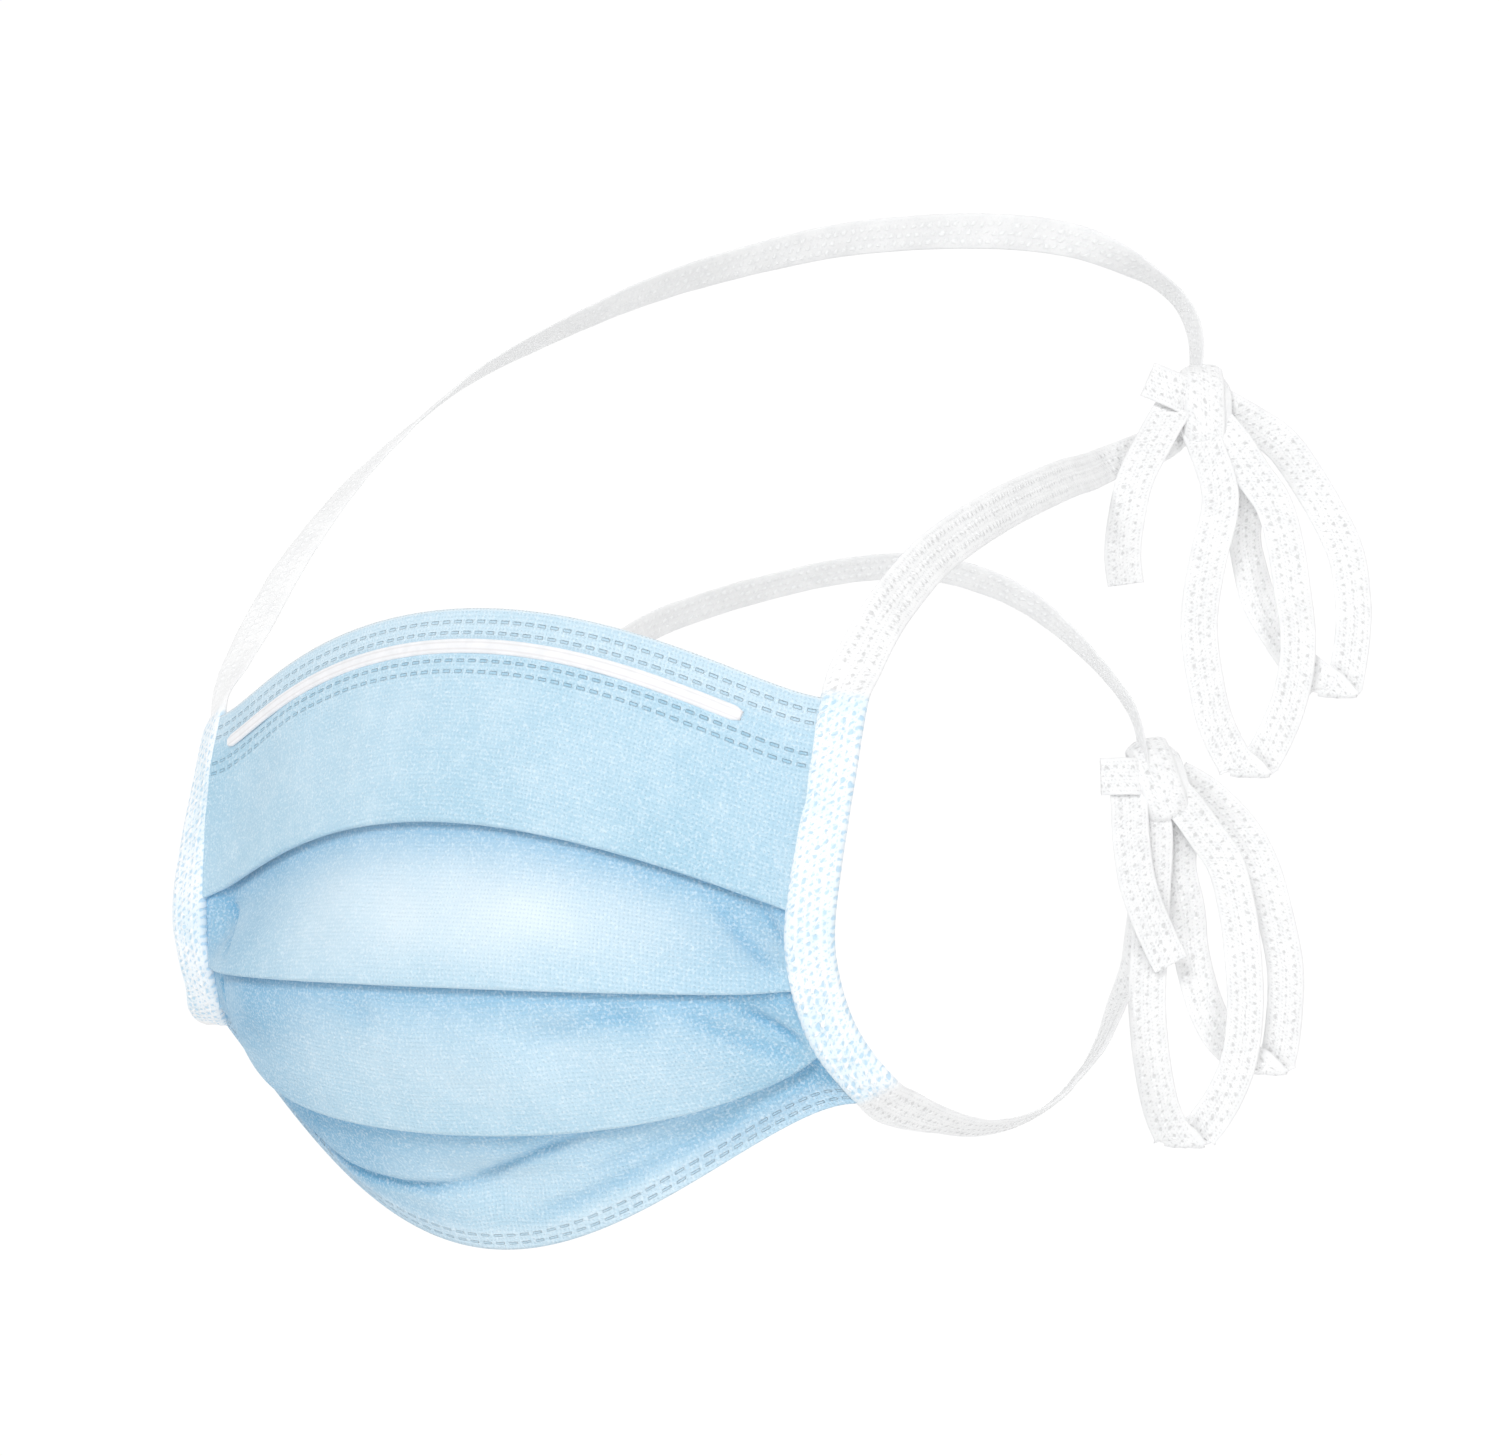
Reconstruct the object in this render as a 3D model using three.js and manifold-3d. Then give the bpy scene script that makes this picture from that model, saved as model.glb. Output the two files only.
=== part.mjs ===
// Pleated surgical face mask with four ties, in the shape that it has when worn, in millimetres.
// The wearer faces -Y, +X is the wearer's left, +Z is up, and the origin is the middle of the mask's top edge,
// where it sits on the nose bridge.
import * as THREE from "three";
import Module from "manifold-3d";

const wasm = await Module();
wasm.setup();

// Cloth panel
const halfChord = 79;
const maskDrop = 128;
const cheekDepth = 25;
const clothWall = 1.0;
const layerGap = 0.3;
const hemWall = 1.8;
const hemHeight = 17;
const tuckAtMiddle = 4.5;
const tuckAtSide = 12;
const weldWall = 1.0;
const weldRamp = 2.2;
const weldShoulder = 0.9;
const panelInset = 1.5;
const panelBulge = [0.12, 0.2, 0.2, 0.06];

// Nose wire
const wireWidth = 3.6;
const wireThick = 0.9;
const wireDrop = 8.2;
const wireProud = 0.3;
const wireFarReach = 73;
const wireNearReach = 66;

// Tape: side bindings, ties and bows
const tapeWidth = 9.6;
const tapeWall = 1.0;
const tieThick = 1.2;
const clearance = 0.3;
const cornerCover = 2.0;
const tieTaper = 4.5;
const tieNarrowing = 0.4;
const cornerLap = 0.05;
const tieStart = 1.1;

// Where the ties run and end
const upperKnotSide = 52;
const upperKnotBack = 229;
const upperKnotRise = 82;
const lowerKnotSide = 45;
const lowerKnotBack = 222;
const lowerKnotDrop = 17;
const headBulge = 40;
const crownRise = 100;
const napeRise = 60;

// Bows
const bowTurn = 35;
const upperLoopLength = 99;
const lowerLoopLength = 95.5;
const bowDepth = 6;
const foldRadius = 1.1;
const knotHeight = 22;
const knotDepth = 11;
const knotCoreWidth = 15;

// Mesh fineness
const stationCount = 25;
const panelRows = 4;
const turnSteps = 2;
const hiddenRows = [0, 1, 1];
const sideSteps = 3;
const stepsPerTieRow = 3;
const stepsPerLoopRow = 2;

const white = { color: 0xf4f6f8, roughness: 0.85, metalness: 0.0 };
const paleBlue = { color: 0xa9d3ee, roughness: 0.8, metalness: 0.0 };
const wirePink = { color: 0xeee6e4, roughness: 0.5, metalness: 0.0 };

// The five edges that shape the cloth: reach in half chords, back in cheek depths, fall in mask drops.
// wrap is how far the edge bends round the face in degrees, and curl, sway and tuck bend its ends. lean lowers
// the left end and lifts the right one, and swing does so half way out, back and down.
const edges = [
  { reach: 1.003, sideBack: 0.57, middleBack: 0.0, wrap: 55, curl: -0.22,
    sideFall: 0.145, middleFall: 0.0, sway: 0.2, tuck: -0.28, lean: 0.0, swingBack: 0.0, swingFall: 0.0 },
  { reach: 0.969, sideBack: 0.35, middleBack: -0.32, wrap: 42, curl: -0.43,
    sideFall: 0.458, middleFall: 0.333, sway: 0.25, tuck: -0.03, lean: 0.0, swingBack: 0.0, swingFall: 0.0 },
  { reach: 0.967, sideBack: 0.464, middleBack: -0.536, wrap: 60, curl: -0.03,
    sideFall: 0.577, middleFall: 0.588, sway: -0.12, tuck: 0.17, lean: 0.0, swingBack: 0.0, swingFall: 0.0 },
  { reach: 0.992, sideBack: 0.72, middleBack: -0.092, wrap: 74.5, curl: -0.59,
    sideFall: 0.662, middleFall: 0.817, sway: -0.32, tuck: -0.37, lean: 0.0125, swingBack: 0.0, swingFall: 0.0 },
  { reach: 1.055, sideBack: 1.004, middleBack: 0.549, wrap: 68.8, curl: -0.05,
    sideFall: 0.7095, middleFall: 1.0, sway: 0.82, tuck: 0.01, lean: 0.031, swingBack: 0.097, swingFall: 0.013 },
];

// How the side tape faces at each edge, in degrees from straight ahead, on the right and the left side.
const bindingTurn = { right: [-28, -2, -4, -8, -12], left: [10, 20, 28, 26, 20] };

// Soft dents in the panels: across in half chords, down in panel heights, sizes and depth in millimetres.
const dents = [
  { panel: 1, across: 0.9, down: 0.5, wide: 9, high: 11, deep: 1.0 },
  { panel: 2, across: 0.86, down: 0.45, wide: 10, high: 9, deep: 0.8 },
  { panel: 2, across: 0.35, down: 0.35, wide: 12, high: 9, deep: 1.2 },
  { panel: 1, across: -0.9, down: 0.5, wide: 8, high: 10, deep: 1.0 },
  { panel: 2, across: -0.55, down: 0.6, wide: 14, high: 8, deep: 0.8 },
  { panel: 3, across: 0.12, down: 0.45, wide: 16, high: 7, deep: 2.4 },
  { panel: 3, across: 0.6, down: 0.5, wide: 16, high: 8, deep: 1.2 },
  { panel: 0, across: -0.75, down: 0.6, wide: 18, high: 16, deep: 1.6 },
];

// Ties from mask corner to knot: along the straight line between them, out in head bulges to the side and up in
// rises, with the way that the tape faces in degrees: turn from straight ahead towards the left, tip upwards.
const upperRightTie = [
  { along: 0.03, out: 0.2, up: 0.05, turn: -14, tip: 22 },
  { along: 0.06, out: 0.38, up: 0.087, turn: -4, tip: 38 },
  { along: 0.105, out: 0.62, up: 0.147, turn: 6, tip: 42 },
  { along: 0.159, out: 0.88, up: 0.229, turn: 4, tip: 41 },
  { along: 0.217, out: 1.11, up: 0.309, turn: -5, tip: 42 },
  { along: 0.284, out: 1.34, up: 0.391, turn: -18, tip: 45 },
  { along: 0.372, out: 1.57, up: 0.478, turn: -36, tip: 47 },
  { along: 0.466, out: 1.72, up: 0.554, turn: -58, tip: 49 },
  { along: 0.632, out: 1.75, up: 0.628, turn: -95, tip: 47 },
  { along: 0.768, out: 1.51, up: 0.642, turn: -131, tip: 41 },
  { along: 0.839, out: 1.2, up: 0.618, turn: -146, tip: 35 },
  { along: 0.894, out: 0.79, up: 0.568, turn: -150, tip: 30 },
  { along: 0.953, out: 0.59, up: 0.493, turn: -158, tip: 37 },
  { along: 0.99, out: 0.44, up: 0.407, turn: -183, tip: 50 },
  { along: 1.013, out: 0.32, up: 0.331, turn: -220, tip: 47 },
  { along: 1.024, out: 0.18, up: 0.239, turn: -241, tip: 28 },
  { along: 1.026, out: 0.11, up: 0.127, turn: -244, tip: 5 },
];
const upperLeftTie = [
  { along: 0.03, out: 0.0, up: 0.049, turn: 52, tip: 22 },
  { along: 0.07, out: 0.01, up: 0.097, turn: 68, tip: 26 },
  { along: 0.125, out: 0.0, up: 0.122, turn: 78, tip: 28 },
  { along: 0.221, out: -0.02, up: 0.138, turn: 86, tip: 26 },
  { along: 0.385, out: -0.04, up: 0.115, turn: 91, tip: 20 },
  { along: 0.63, out: -0.17, up: 0.03, turn: 90, tip: 20 },
  { along: 0.76, out: -0.28, up: -0.03, turn: 90, tip: 22 },
  { along: 0.905, out: -0.47, up: -0.1, turn: 78, tip: 24 },
  { along: 0.945, out: -0.46, up: -0.11, turn: 56, tip: 26 },
  { along: 0.965, out: -0.36, up: -0.106, turn: 38, tip: 16 },
  { along: 0.972, out: -0.23, up: -0.095, turn: 35, tip: 6 },
  { along: 0.984, out: -0.13, up: -0.09, turn: 35, tip: 2 },
];
const lowerRightTie = [
  { along: 0.013, out: 0.04, up: -0.068, turn: -12, tip: -90 },
  { along: 0.031, out: 0.1, up: -0.044, turn: -185, tip: -45 },
  { along: 0.05, out: 0.17, up: 0.07, turn: -172, tip: -36 },
  { along: 0.157, out: 0.42, up: 0.281, turn: -140, tip: -20 },
  { along: 0.319, out: 0.83, up: 0.542, turn: -115, tip: 5 },
  { along: 0.471, out: 1.19, up: 0.77, turn: -105, tip: 18 },
  { along: 0.631, out: 1.55, up: 0.962, turn: -98, tip: 30 },
  { along: 0.702, out: 1.56, up: 1.019, turn: -104, tip: 40 },
  { along: 0.794, out: 1.54, up: 1.05, turn: -120, tip: 49 },
  { along: 0.843, out: 1.23, up: 1.071, turn: -146, tip: 55 },
  { along: 0.883, out: 0.86, up: 1.025, turn: -168, tip: 51 },
  { along: 0.932, out: 0.55, up: 0.853, turn: -186, tip: 47 },
  { along: 0.971, out: 0.33, up: 0.604, turn: -214, tip: 42 },
  { along: 0.981, out: 0.09, up: 0.389, turn: -228, tip: 34 },
  { along: 0.982, out: -0.04, up: 0.252, turn: -232, tip: 18 },
];
const lowerLeftTie = [
  { along: 0.03, out: 0.04, up: -0.06, turn: 50, tip: -30 },
  { along: 0.061, out: 0.075, up: -0.095, turn: 71, tip: -58 },
  { along: 0.153, out: 0.17, up: -0.277, turn: 74, tip: -70 },
  { along: 0.25, out: 0.23, up: -0.417, turn: 100, tip: -65 },
  { along: 0.375, out: 0.27, up: -0.532, turn: 118, tip: -57 },
  { along: 0.502, out: 0.22, up: -0.63, turn: 125, tip: -50 },
  { along: 0.676, out: 0.1, up: -0.767, turn: 132, tip: -44 },
  { along: 0.865, out: -0.13, up: -0.932, turn: 142, tip: -36 },
  { along: 0.96, out: -0.22, up: -0.963, turn: 158, tip: -30 },
  { along: 0.99, out: -0.18, up: -0.9, turn: 192, tip: -14 },
  { along: 0.996, out: -0.12, up: -0.82, turn: 210, tip: -4 },
  { along: 0.999, out: -0.06, up: -0.72, turn: 215, tip: 0 },
  { along: 1.0, out: -0.02, up: -0.617, turn: 215, tip: 0 },
  { along: 1.003, out: 0.0, up: -0.492, turn: 215, tip: 0 },
  { along: 1.005, out: 0.01, up: -0.345, turn: 215, tip: 0 },
];

// Bow strands from the knot's middle, seen square on: across and down in loop lengths, front in bow depths.
const upperFrontLoop = {
  leftStrand: [
    { across: 0.01, down: 0.05, front: 0.3, turn: 0, tip: 0 },
    { across: 0.04, down: 0.127, front: 0.55, turn: 0, tip: 0 },
    { across: 0.072, down: 0.227, front: 0.8, turn: -6, tip: 0 },
    { across: 0.073, down: 0.304, front: 0.95, turn: -10, tip: 0 },
    { across: 0.049, down: 0.411, front: 1.0, turn: -8, tip: 2 },
    { across: 0.029, down: 0.54, front: 1.0, turn: -4, tip: 2 },
    { across: 0.028, down: 0.634, front: 1.0, turn: 0, tip: 2 },
    { across: 0.048, down: 0.748, front: 0.85, turn: 4, tip: 0 },
    { across: 0.079, down: 0.856, front: 0.7, turn: 4, tip: -4 },
    { across: 0.132, down: 0.953, front: 0.5, turn: 0, tip: -6 },
  ],
  rightStrand: [
    { across: 0.222, down: 0.921, front: 0.1, turn: 0, tip: 6 },
    { across: 0.267, down: 0.817, front: 0.12, turn: -6, tip: 4 },
    { across: 0.291, down: 0.712, front: 0.25, turn: -8, tip: 0 },
    { across: 0.293, down: 0.612, front: 0.4, turn: -6, tip: 0 },
    { across: 0.277, down: 0.506, front: 0.45, turn: 0, tip: 0 },
    { across: 0.254, down: 0.374, front: 0.45, turn: 6, tip: 0 },
    { across: 0.221, down: 0.268, front: 0.42, turn: 8, tip: -4 },
    { across: 0.167, down: 0.193, front: 0.46, turn: 4, tip: -4 },
    { across: 0.11, down: 0.107, front: 0.42, turn: 0, tip: 0 },
    { across: 0.05, down: 0.04, front: 0.3, turn: 0, tip: 0 },
  ],
  bottom: { across: 0.175, down: 0.99, front: 0.32 },
};
const upperBackLoop = {
  leftStrand: [
    { across: 0.06, down: 0.04, front: -0.45, turn: 0, tip: 0 },
    { across: 0.126, down: 0.135, front: -0.5, turn: 0, tip: 0 },
    { across: 0.161, down: 0.233, front: -0.55, turn: 12, tip: 0 },
    { across: 0.16, down: 0.348, front: -0.65, turn: 18, tip: 0 },
    { across: 0.175, down: 0.43, front: -0.65, turn: 12, tip: 0 },
    { across: 0.201, down: 0.519, front: -0.6, turn: 6, tip: 0 },
    { across: 0.243, down: 0.591, front: -0.55, turn: 0, tip: 0 },
    { across: 0.309, down: 0.681, front: -0.55, turn: 0, tip: 0 },
    { across: 0.375, down: 0.732, front: -0.6, turn: 0, tip: -4 },
  ],
  rightStrand: [
    { across: 0.438, down: 0.722, front: -1.0, turn: 0, tip: 4 },
    { across: 0.448, down: 0.67, front: -1.0, turn: -4, tip: 4 },
    { across: 0.457, down: 0.585, front: -1.0, turn: -6, tip: 2 },
    { across: 0.456, down: 0.507, front: -1.0, turn: -2, tip: 0 },
    { across: 0.434, down: 0.386, front: -0.85, turn: 4, tip: -2 },
    { across: 0.38, down: 0.278, front: -0.7, turn: 6, tip: -4 },
    { across: 0.298, down: 0.155, front: -0.5, turn: 6, tip: -8 },
    { across: 0.24, down: 0.089, front: -0.42, turn: 4, tip: -8 },
    { across: 0.161, down: 0.041, front: -0.32, turn: 0, tip: -4 },
    { across: 0.08, down: 0.0, front: -0.2, turn: 0, tip: 0 },
  ],
  bottom: { across: 0.415, down: 0.765, front: -0.78 },
};
const upperTail = [
  { across: -0.03, down: 0.0, front: 0.45, turn: -10, tip: 8 },
  { across: -0.06, down: 0.04, front: 0.62, turn: -8, tip: 6 },
  { across: -0.1, down: 0.115, front: 0.75, turn: -6, tip: 2 },
  { across: -0.148, down: 0.22, front: 0.8, turn: -6, tip: 0 },
  { across: -0.17, down: 0.335, front: 0.75, turn: -4, tip: -2 },
  { across: -0.175, down: 0.423, front: 0.65, turn: 0, tip: -4 },
  { across: -0.164, down: 0.498, front: 0.5, turn: 4, tip: -6 },
];
const lowerFrontLoop = {
  leftStrand: [
    { across: 0.015, down: 0.05, front: 0.1, turn: 0, tip: 0 },
    { across: 0.025, down: 0.15, front: 0.25, turn: 0, tip: 0 },
    { across: 0.025, down: 0.22, front: 0.33, turn: 0, tip: 0 },
    { across: 0.021, down: 0.323, front: 0.36, turn: 0, tip: 0 },
    { across: 0.018, down: 0.47, front: 0.4, turn: 0, tip: 0 },
    { across: 0.013, down: 0.57, front: 0.5, turn: -3, tip: 2 },
    { across: 0.016, down: 0.651, front: 0.55, turn: 0, tip: 2 },
    { across: 0.031, down: 0.773, front: 0.58, turn: 3, tip: 0 },
    { across: 0.057, down: 0.886, front: 0.55, turn: 4, tip: -4 },
    { across: 0.09, down: 0.955, front: 0.45, turn: 0, tip: -6 },
  ],
  rightStrand: [
    { across: 0.184, down: 0.93, front: 0.05, turn: 0, tip: 6 },
    { across: 0.238, down: 0.84, front: 0.1, turn: -6, tip: 4 },
    { across: 0.271, down: 0.736, front: 0.22, turn: -8, tip: 2 },
    { across: 0.28, down: 0.6, front: 0.35, turn: -4, tip: 0 },
    { across: 0.268, down: 0.458, front: 0.4, turn: 2, tip: 0 },
    { across: 0.251, down: 0.348, front: 0.4, turn: 4, tip: 0 },
    { across: 0.218, down: 0.232, front: 0.36, turn: 6, tip: -4 },
    { across: 0.162, down: 0.152, front: 0.4, turn: 4, tip: -4 },
    { across: 0.107, down: 0.079, front: 0.36, turn: 0, tip: 0 },
    { across: 0.05, down: 0.02, front: 0.24, turn: 0, tip: 0 },
  ],
  bottom: { across: 0.126, down: 0.99, front: 0.25 },
};
const lowerBackLoop = {
  leftStrand: [
    { across: 0.04, down: 0.03, front: -0.4, turn: 0, tip: 0 },
    { across: 0.092, down: 0.153, front: -0.4, turn: -12, tip: 0 },
    { across: 0.1, down: 0.252, front: -0.48, turn: -14, tip: 0 },
    { across: 0.126, down: 0.358, front: -0.55, turn: -4, tip: 0 },
    { across: 0.14, down: 0.465, front: -0.58, turn: 6, tip: 0 },
    { across: 0.173, down: 0.588, front: -0.56, turn: 4, tip: 0 },
    { across: 0.216, down: 0.679, front: -0.55, turn: 0, tip: 0 },
    { across: 0.276, down: 0.74, front: -0.55, turn: 0, tip: 0 },
    { across: 0.325, down: 0.772, front: -0.6, turn: 0, tip: -4 },
  ],
  rightStrand: [
    { across: 0.385, down: 0.748, front: -1.0, turn: 0, tip: 4 },
    { across: 0.397, down: 0.693, front: -1.0, turn: -4, tip: 4 },
    { across: 0.405, down: 0.577, front: -1.0, turn: -4, tip: 2 },
    { across: 0.399, down: 0.482, front: -0.95, turn: 0, tip: 0 },
    { across: 0.368, down: 0.358, front: -0.8, turn: 4, tip: -2 },
    { across: 0.326, down: 0.23, front: -0.65, turn: 6, tip: -4 },
    { across: 0.263, down: 0.129, front: -0.5, turn: 6, tip: -8 },
    { across: 0.172, down: 0.045, front: -0.4, turn: 4, tip: -6 },
    { across: 0.09, down: 0.0, front: -0.3, turn: 0, tip: 0 },
  ],
  bottom: { across: 0.356, down: 0.79, front: -0.78 },
};
const lowerTail = [
  { across: -0.05, down: 0.02, front: 0.45, turn: 0, tip: 6 },
  { across: -0.048, down: 0.078, front: 0.68, turn: 0, tip: 4 },
  { across: -0.042, down: 0.18, front: 0.85, turn: 0, tip: 0 },
  { across: -0.024, down: 0.288, front: 0.92, turn: 0, tip: 0 },
  { across: 0.009, down: 0.38, front: 0.95, turn: 0, tip: -2 },
  { across: 0.047, down: 0.459, front: 0.92, turn: 4, tip: -2 },
  { across: 0.073, down: 0.506, front: 0.85, turn: 6, tip: -2 },
];

// The small folded end that shows at each knot, as shares of the knot's height and depth.
const upperKnotFlap = [
  { across: 0.0, up: 0.0, front: 0.2, turn: 0, tip: 0 },
  { across: -0.2, up: 0.08, front: 0.46, turn: -6, tip: 4 },
  { across: -0.55, up: 0.22, front: 0.42, turn: -16, tip: 6 },
];
const lowerKnotFlap = [
  { across: 0.0, up: -0.02, front: 0.2, turn: 0, tip: 0 },
  { across: -0.2, up: -0.02, front: 0.46, turn: -6, tip: 0 },
  { across: -0.56, up: -0.04, front: 0.42, turn: -16, tip: 0 },
];

const vec = (x, y, z) => new THREE.Vector3(x, y, z);
const radians = (degrees) => THREE.MathUtils.degToRad(degrees);
const mix = THREE.MathUtils.lerp;
const layerPitch = clothWall + layerGap;

// Unit vector that faces a way: turn from straight ahead (-Y) towards +X, tip upwards.
function facing(turn, tip) {
  const level = Math.cos(radians(tip));
  return vec(Math.sin(radians(turn)) * level, -Math.cos(radians(turn)) * level, Math.sin(radians(tip)));
}

// One number on the smooth curve through four equally spaced ones.
function smooth(before, from, to, after, u) {
  const a = 2 * from;
  const b = to - before;
  const c = 2 * before - 5 * from + 4 * to - after;
  const d = 3 * from - before - 3 * to + after;
  return 0.5 * (a + b * u + c * u * u + d * u * u * u);
}

// Smooth rows between the rows of a table whose columns are all numbers.
function refine(rows, steps) {
  const last = rows.length - 1;
  const fine = [];
  for (let i = 0; i < last; i += 1) {
    const four = [rows[Math.max(i - 1, 0)], rows[i], rows[i + 1], rows[Math.min(i + 2, last)]];
    for (let step = 0; step < steps; step += 1) {
      const row = {};
      for (const key of Object.keys(rows[0])) {
        row[key] = smooth(four[0][key], four[1][key], four[2][key], four[3][key], step / steps);
      }
      fine.push(row);
    }
  }
  fine.push(rows[last]);
  return fine;
}

// Closed solid through rings with equally many points. caps lists the polygons that close a ring's section.
function loft(rings, caps, endless = false) {
  const size = rings[0].length;
  const points = rings.flat();
  const triangles = [];
  const spans = endless ? rings.length : rings.length - 1;
  for (let i = 0; i < spans; i += 1) {
    const here = i * size;
    const next = ((i + 1) % rings.length) * size;
    for (let j = 0; j < size; j += 1) {
      const k = (j + 1) % size;
      triangles.push([here + j, next + j, next + k], [here + j, next + k, here + k]);
    }
  }
  const end = (rings.length - 1) * size;
  for (const polygon of endless ? [] : caps) {
    for (let j = 1; j + 1 < polygon.length; j += 1) {
      triangles.push([polygon[0], polygon[j], polygon[j + 1]]);
      triangles.push([end + polygon[0], end + polygon[j + 1], end + polygon[j]]);
    }
  }
  return solid(points, triangles);
}

// Solid from points and triangles, with its faces turned outwards.
function solid(points, triangles) {
  let volume = 0;
  for (const [a, b, c] of triangles) {
    volume += points[a].dot(points[b].clone().cross(points[c]));
  }
  const order = volume < 0 ? triangles.map(([a, b, c]) => [a, c, b]) : triangles;
  return new wasm.Manifold(new wasm.Mesh({
    numProp: 3,
    vertProperties: new Float32Array(points.flatMap((point) => point.toArray())),
    triVerts: new Uint32Array(order.flat()),
  }));
}

function asMesh(name, body, look) {
  const mesh = body.getMesh();
  const geometry = new THREE.BufferGeometry();
  geometry.setAttribute("position", new THREE.BufferAttribute(mesh.vertProperties, 3));
  geometry.setIndex(new THREE.BufferAttribute(mesh.triVerts, 1));
  geometry.computeVertexNormals();
  const node = new THREE.Mesh(geometry, new THREE.MeshStandardMaterial(look));
  node.name = name;
  return node;
}

// Point on one of the five edges, with t from -1 at the right side to 1 at the left.
function edgePoint(edge, t) {
  const wrap = radians(edge.wrap);
  const bow = (1 - Math.cos(wrap * t)) / (1 - Math.cos(wrap));
  const back = edge.middleBack + (edge.sideBack - edge.middleBack) * ((1 - edge.curl) * bow + edge.curl * t ** 6);
  const sag = (1 - edge.sway - edge.tuck) * t * t + edge.sway * (1 - Math.cos(Math.PI * t)) / 2 + edge.tuck * t ** 6;
  const fall = edge.middleFall + (edge.sideFall - edge.middleFall) * sag + edge.lean * Math.sign(t) * t ** 4;
  const swing = Math.sin(Math.PI * t);
  return vec(
    halfChord * edge.reach * Math.sin(wrap * t) / Math.sin(wrap),
    cheekDepth * (back - edge.swingBack * swing),
    -maskDrop * (fall + edge.swingFall * swing),
  );
}

// Level direction across the cloth, from right to left, along an edge.
function acrossAt(edge, t) {
  const step = 0.01;
  const from = edgePoint(edge, Math.max(t - step, -1));
  return edgePoint(edge, Math.min(t + step, 1)).sub(from).normalize();
}

function outwards(down, across) {
  return down.clone().cross(across).normalize();
}

// Middle line of the cloth at one station, from the top edge to the chin, through the three pleats.
function clothLine(t) {
  const line = [];
  const tuck = mix(tuckAtMiddle, tuckAtSide, Math.abs(t) ** 1.6);
  let start = edgePoint(edges[0], t);
  let startWay = null;
  for (let panel = 0; panel < 4; panel += 1) {
    const end = edgePoint(edges[panel + 1], t);
    const across = acrossAt(edges[panel], t).add(acrossAt(edges[panel + 1], t)).normalize();
    const chord = end.clone().sub(start);
    const height = chord.length();
    const normal = outwards(chord.clone().normalize(), across);
    const bulge = panelBulge[panel];
    const leave = startWay ?? chord.clone().normalize().addScaledVector(normal, bulge).normalize();
    const arrive = chord.clone().normalize().addScaledVector(normal, -bulge).normalize();
    const curve = [start, leave, end, arrive, height];
    const panelAt = (u) => {
      const ahead = Math.min(u + 0.02, 1);
      const face = outwards(hermite(...curve, ahead).sub(hermite(...curve, ahead - 0.04)).normalize(), across);
      return { point: hermite(...curve, u).addScaledVector(face, -dentDepth(panel, t, u, height)), face };
    };
    for (let row = panel === 0 ? 0 : 1; row <= panelRows; row += 1) {
      const u = row / panelRows;
      line.push({ ...panelAt(u), wall: panel === 0 ? hemAt(u * height) : clothWall });
    }
    if (panel < 3) {
      const face = outwards(arrive, across);
      const depth = Math.min(tuck, 0.8 * edgePoint(edges[panel + 2], t).distanceTo(end) + 1);
      for (const row of pleatTurns(end, arrive, face, depth, hiddenRows[panel])) {
        const rise = Math.max(end.clone().sub(row.point).dot(arrive), 0);
        const cover = panelAt(1 - rise / height).point;
        row.point.addScaledVector(face, cover.sub(end).dot(face));
        line.push(row);
      }
      start = end.clone().addScaledVector(face, -2 * layerPitch);
      startWay = arrive;
    }
  }
  return line;
}

function hermite(start, leave, end, arrive, height, u) {
  const point = start.clone().multiplyScalar(2 * u ** 3 - 3 * u ** 2 + 1);
  point.addScaledVector(leave, height * (u ** 3 - 2 * u ** 2 + u));
  point.addScaledVector(end, 3 * u ** 2 - 2 * u ** 3);
  point.addScaledVector(arrive, height * (u ** 3 - u ** 2));
  return point;
}

function hemAt(distance) {
  const fade = THREE.MathUtils.smoothstep(distance, 0.6 * hemHeight, hemHeight);
  return mix(hemWall, clothWall, fade);
}

function dentDepth(panel, t, u, height) {
  let depth = 0;
  for (const dent of dents) {
    if (dent.panel === panel) {
      const aside = (t - dent.across) * halfChord / dent.wide;
      const below = (u - dent.down) * height / dent.high;
      depth += dent.deep * Math.exp(-2 * (aside * aside + below * below)) * 4 * u * (1 - u);
    }
  }
  return depth;
}

// The lip of a pleat and the hidden fold behind it, with some rows between its two turns.
function pleatTurns(lip, down, face, depth, hidden) {
  const radius = layerPitch / 2;
  const turns = [];
  for (const [middle, sense] of [[0.5, 1], [1.5, -1]]) {
    const centre = lip.clone().addScaledVector(face, -middle * layerPitch);
    centre.addScaledVector(down, sense > 0 ? 0 : -depth);
    for (let step = sense > 0 ? 1 : 0; step <= turnSteps; step += 1) {
      const angle = Math.PI * step / turnSteps;
      const spoke = face.clone().multiplyScalar(Math.cos(angle)).addScaledVector(down, sense * Math.sin(angle));
      turns.push({
        point: centre.clone().addScaledVector(spoke, radius),
        face: spoke.clone().multiplyScalar(sense),
        wall: clothWall,
      });
    }
    for (let row = 1; row <= hidden; row += 1) {
      const up = depth * (sense > 0 ? row : hidden + 1 - row) / (hidden + 1);
      const point = lip.clone().addScaledVector(face, -(middle + 0.5) * layerPitch).addScaledVector(down, -up);
      turns.push({ point, face: face.clone().multiplyScalar(-sense), wall: clothWall });
    }
  }
  return turns;
}

// Outline of the cloth's cut at one station: down its outer face and back up its inner face.
function clothRing(t) {
  const line = clothLine(t);
  const outer = line.map(({ point, face, wall }) => point.clone().addScaledVector(face, wall / 2));
  const inner = line.map(({ point, face, wall }) => point.clone().addScaledVector(face, -wall / 2));
  return [...outer, ...inner.reverse()];
}

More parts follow.
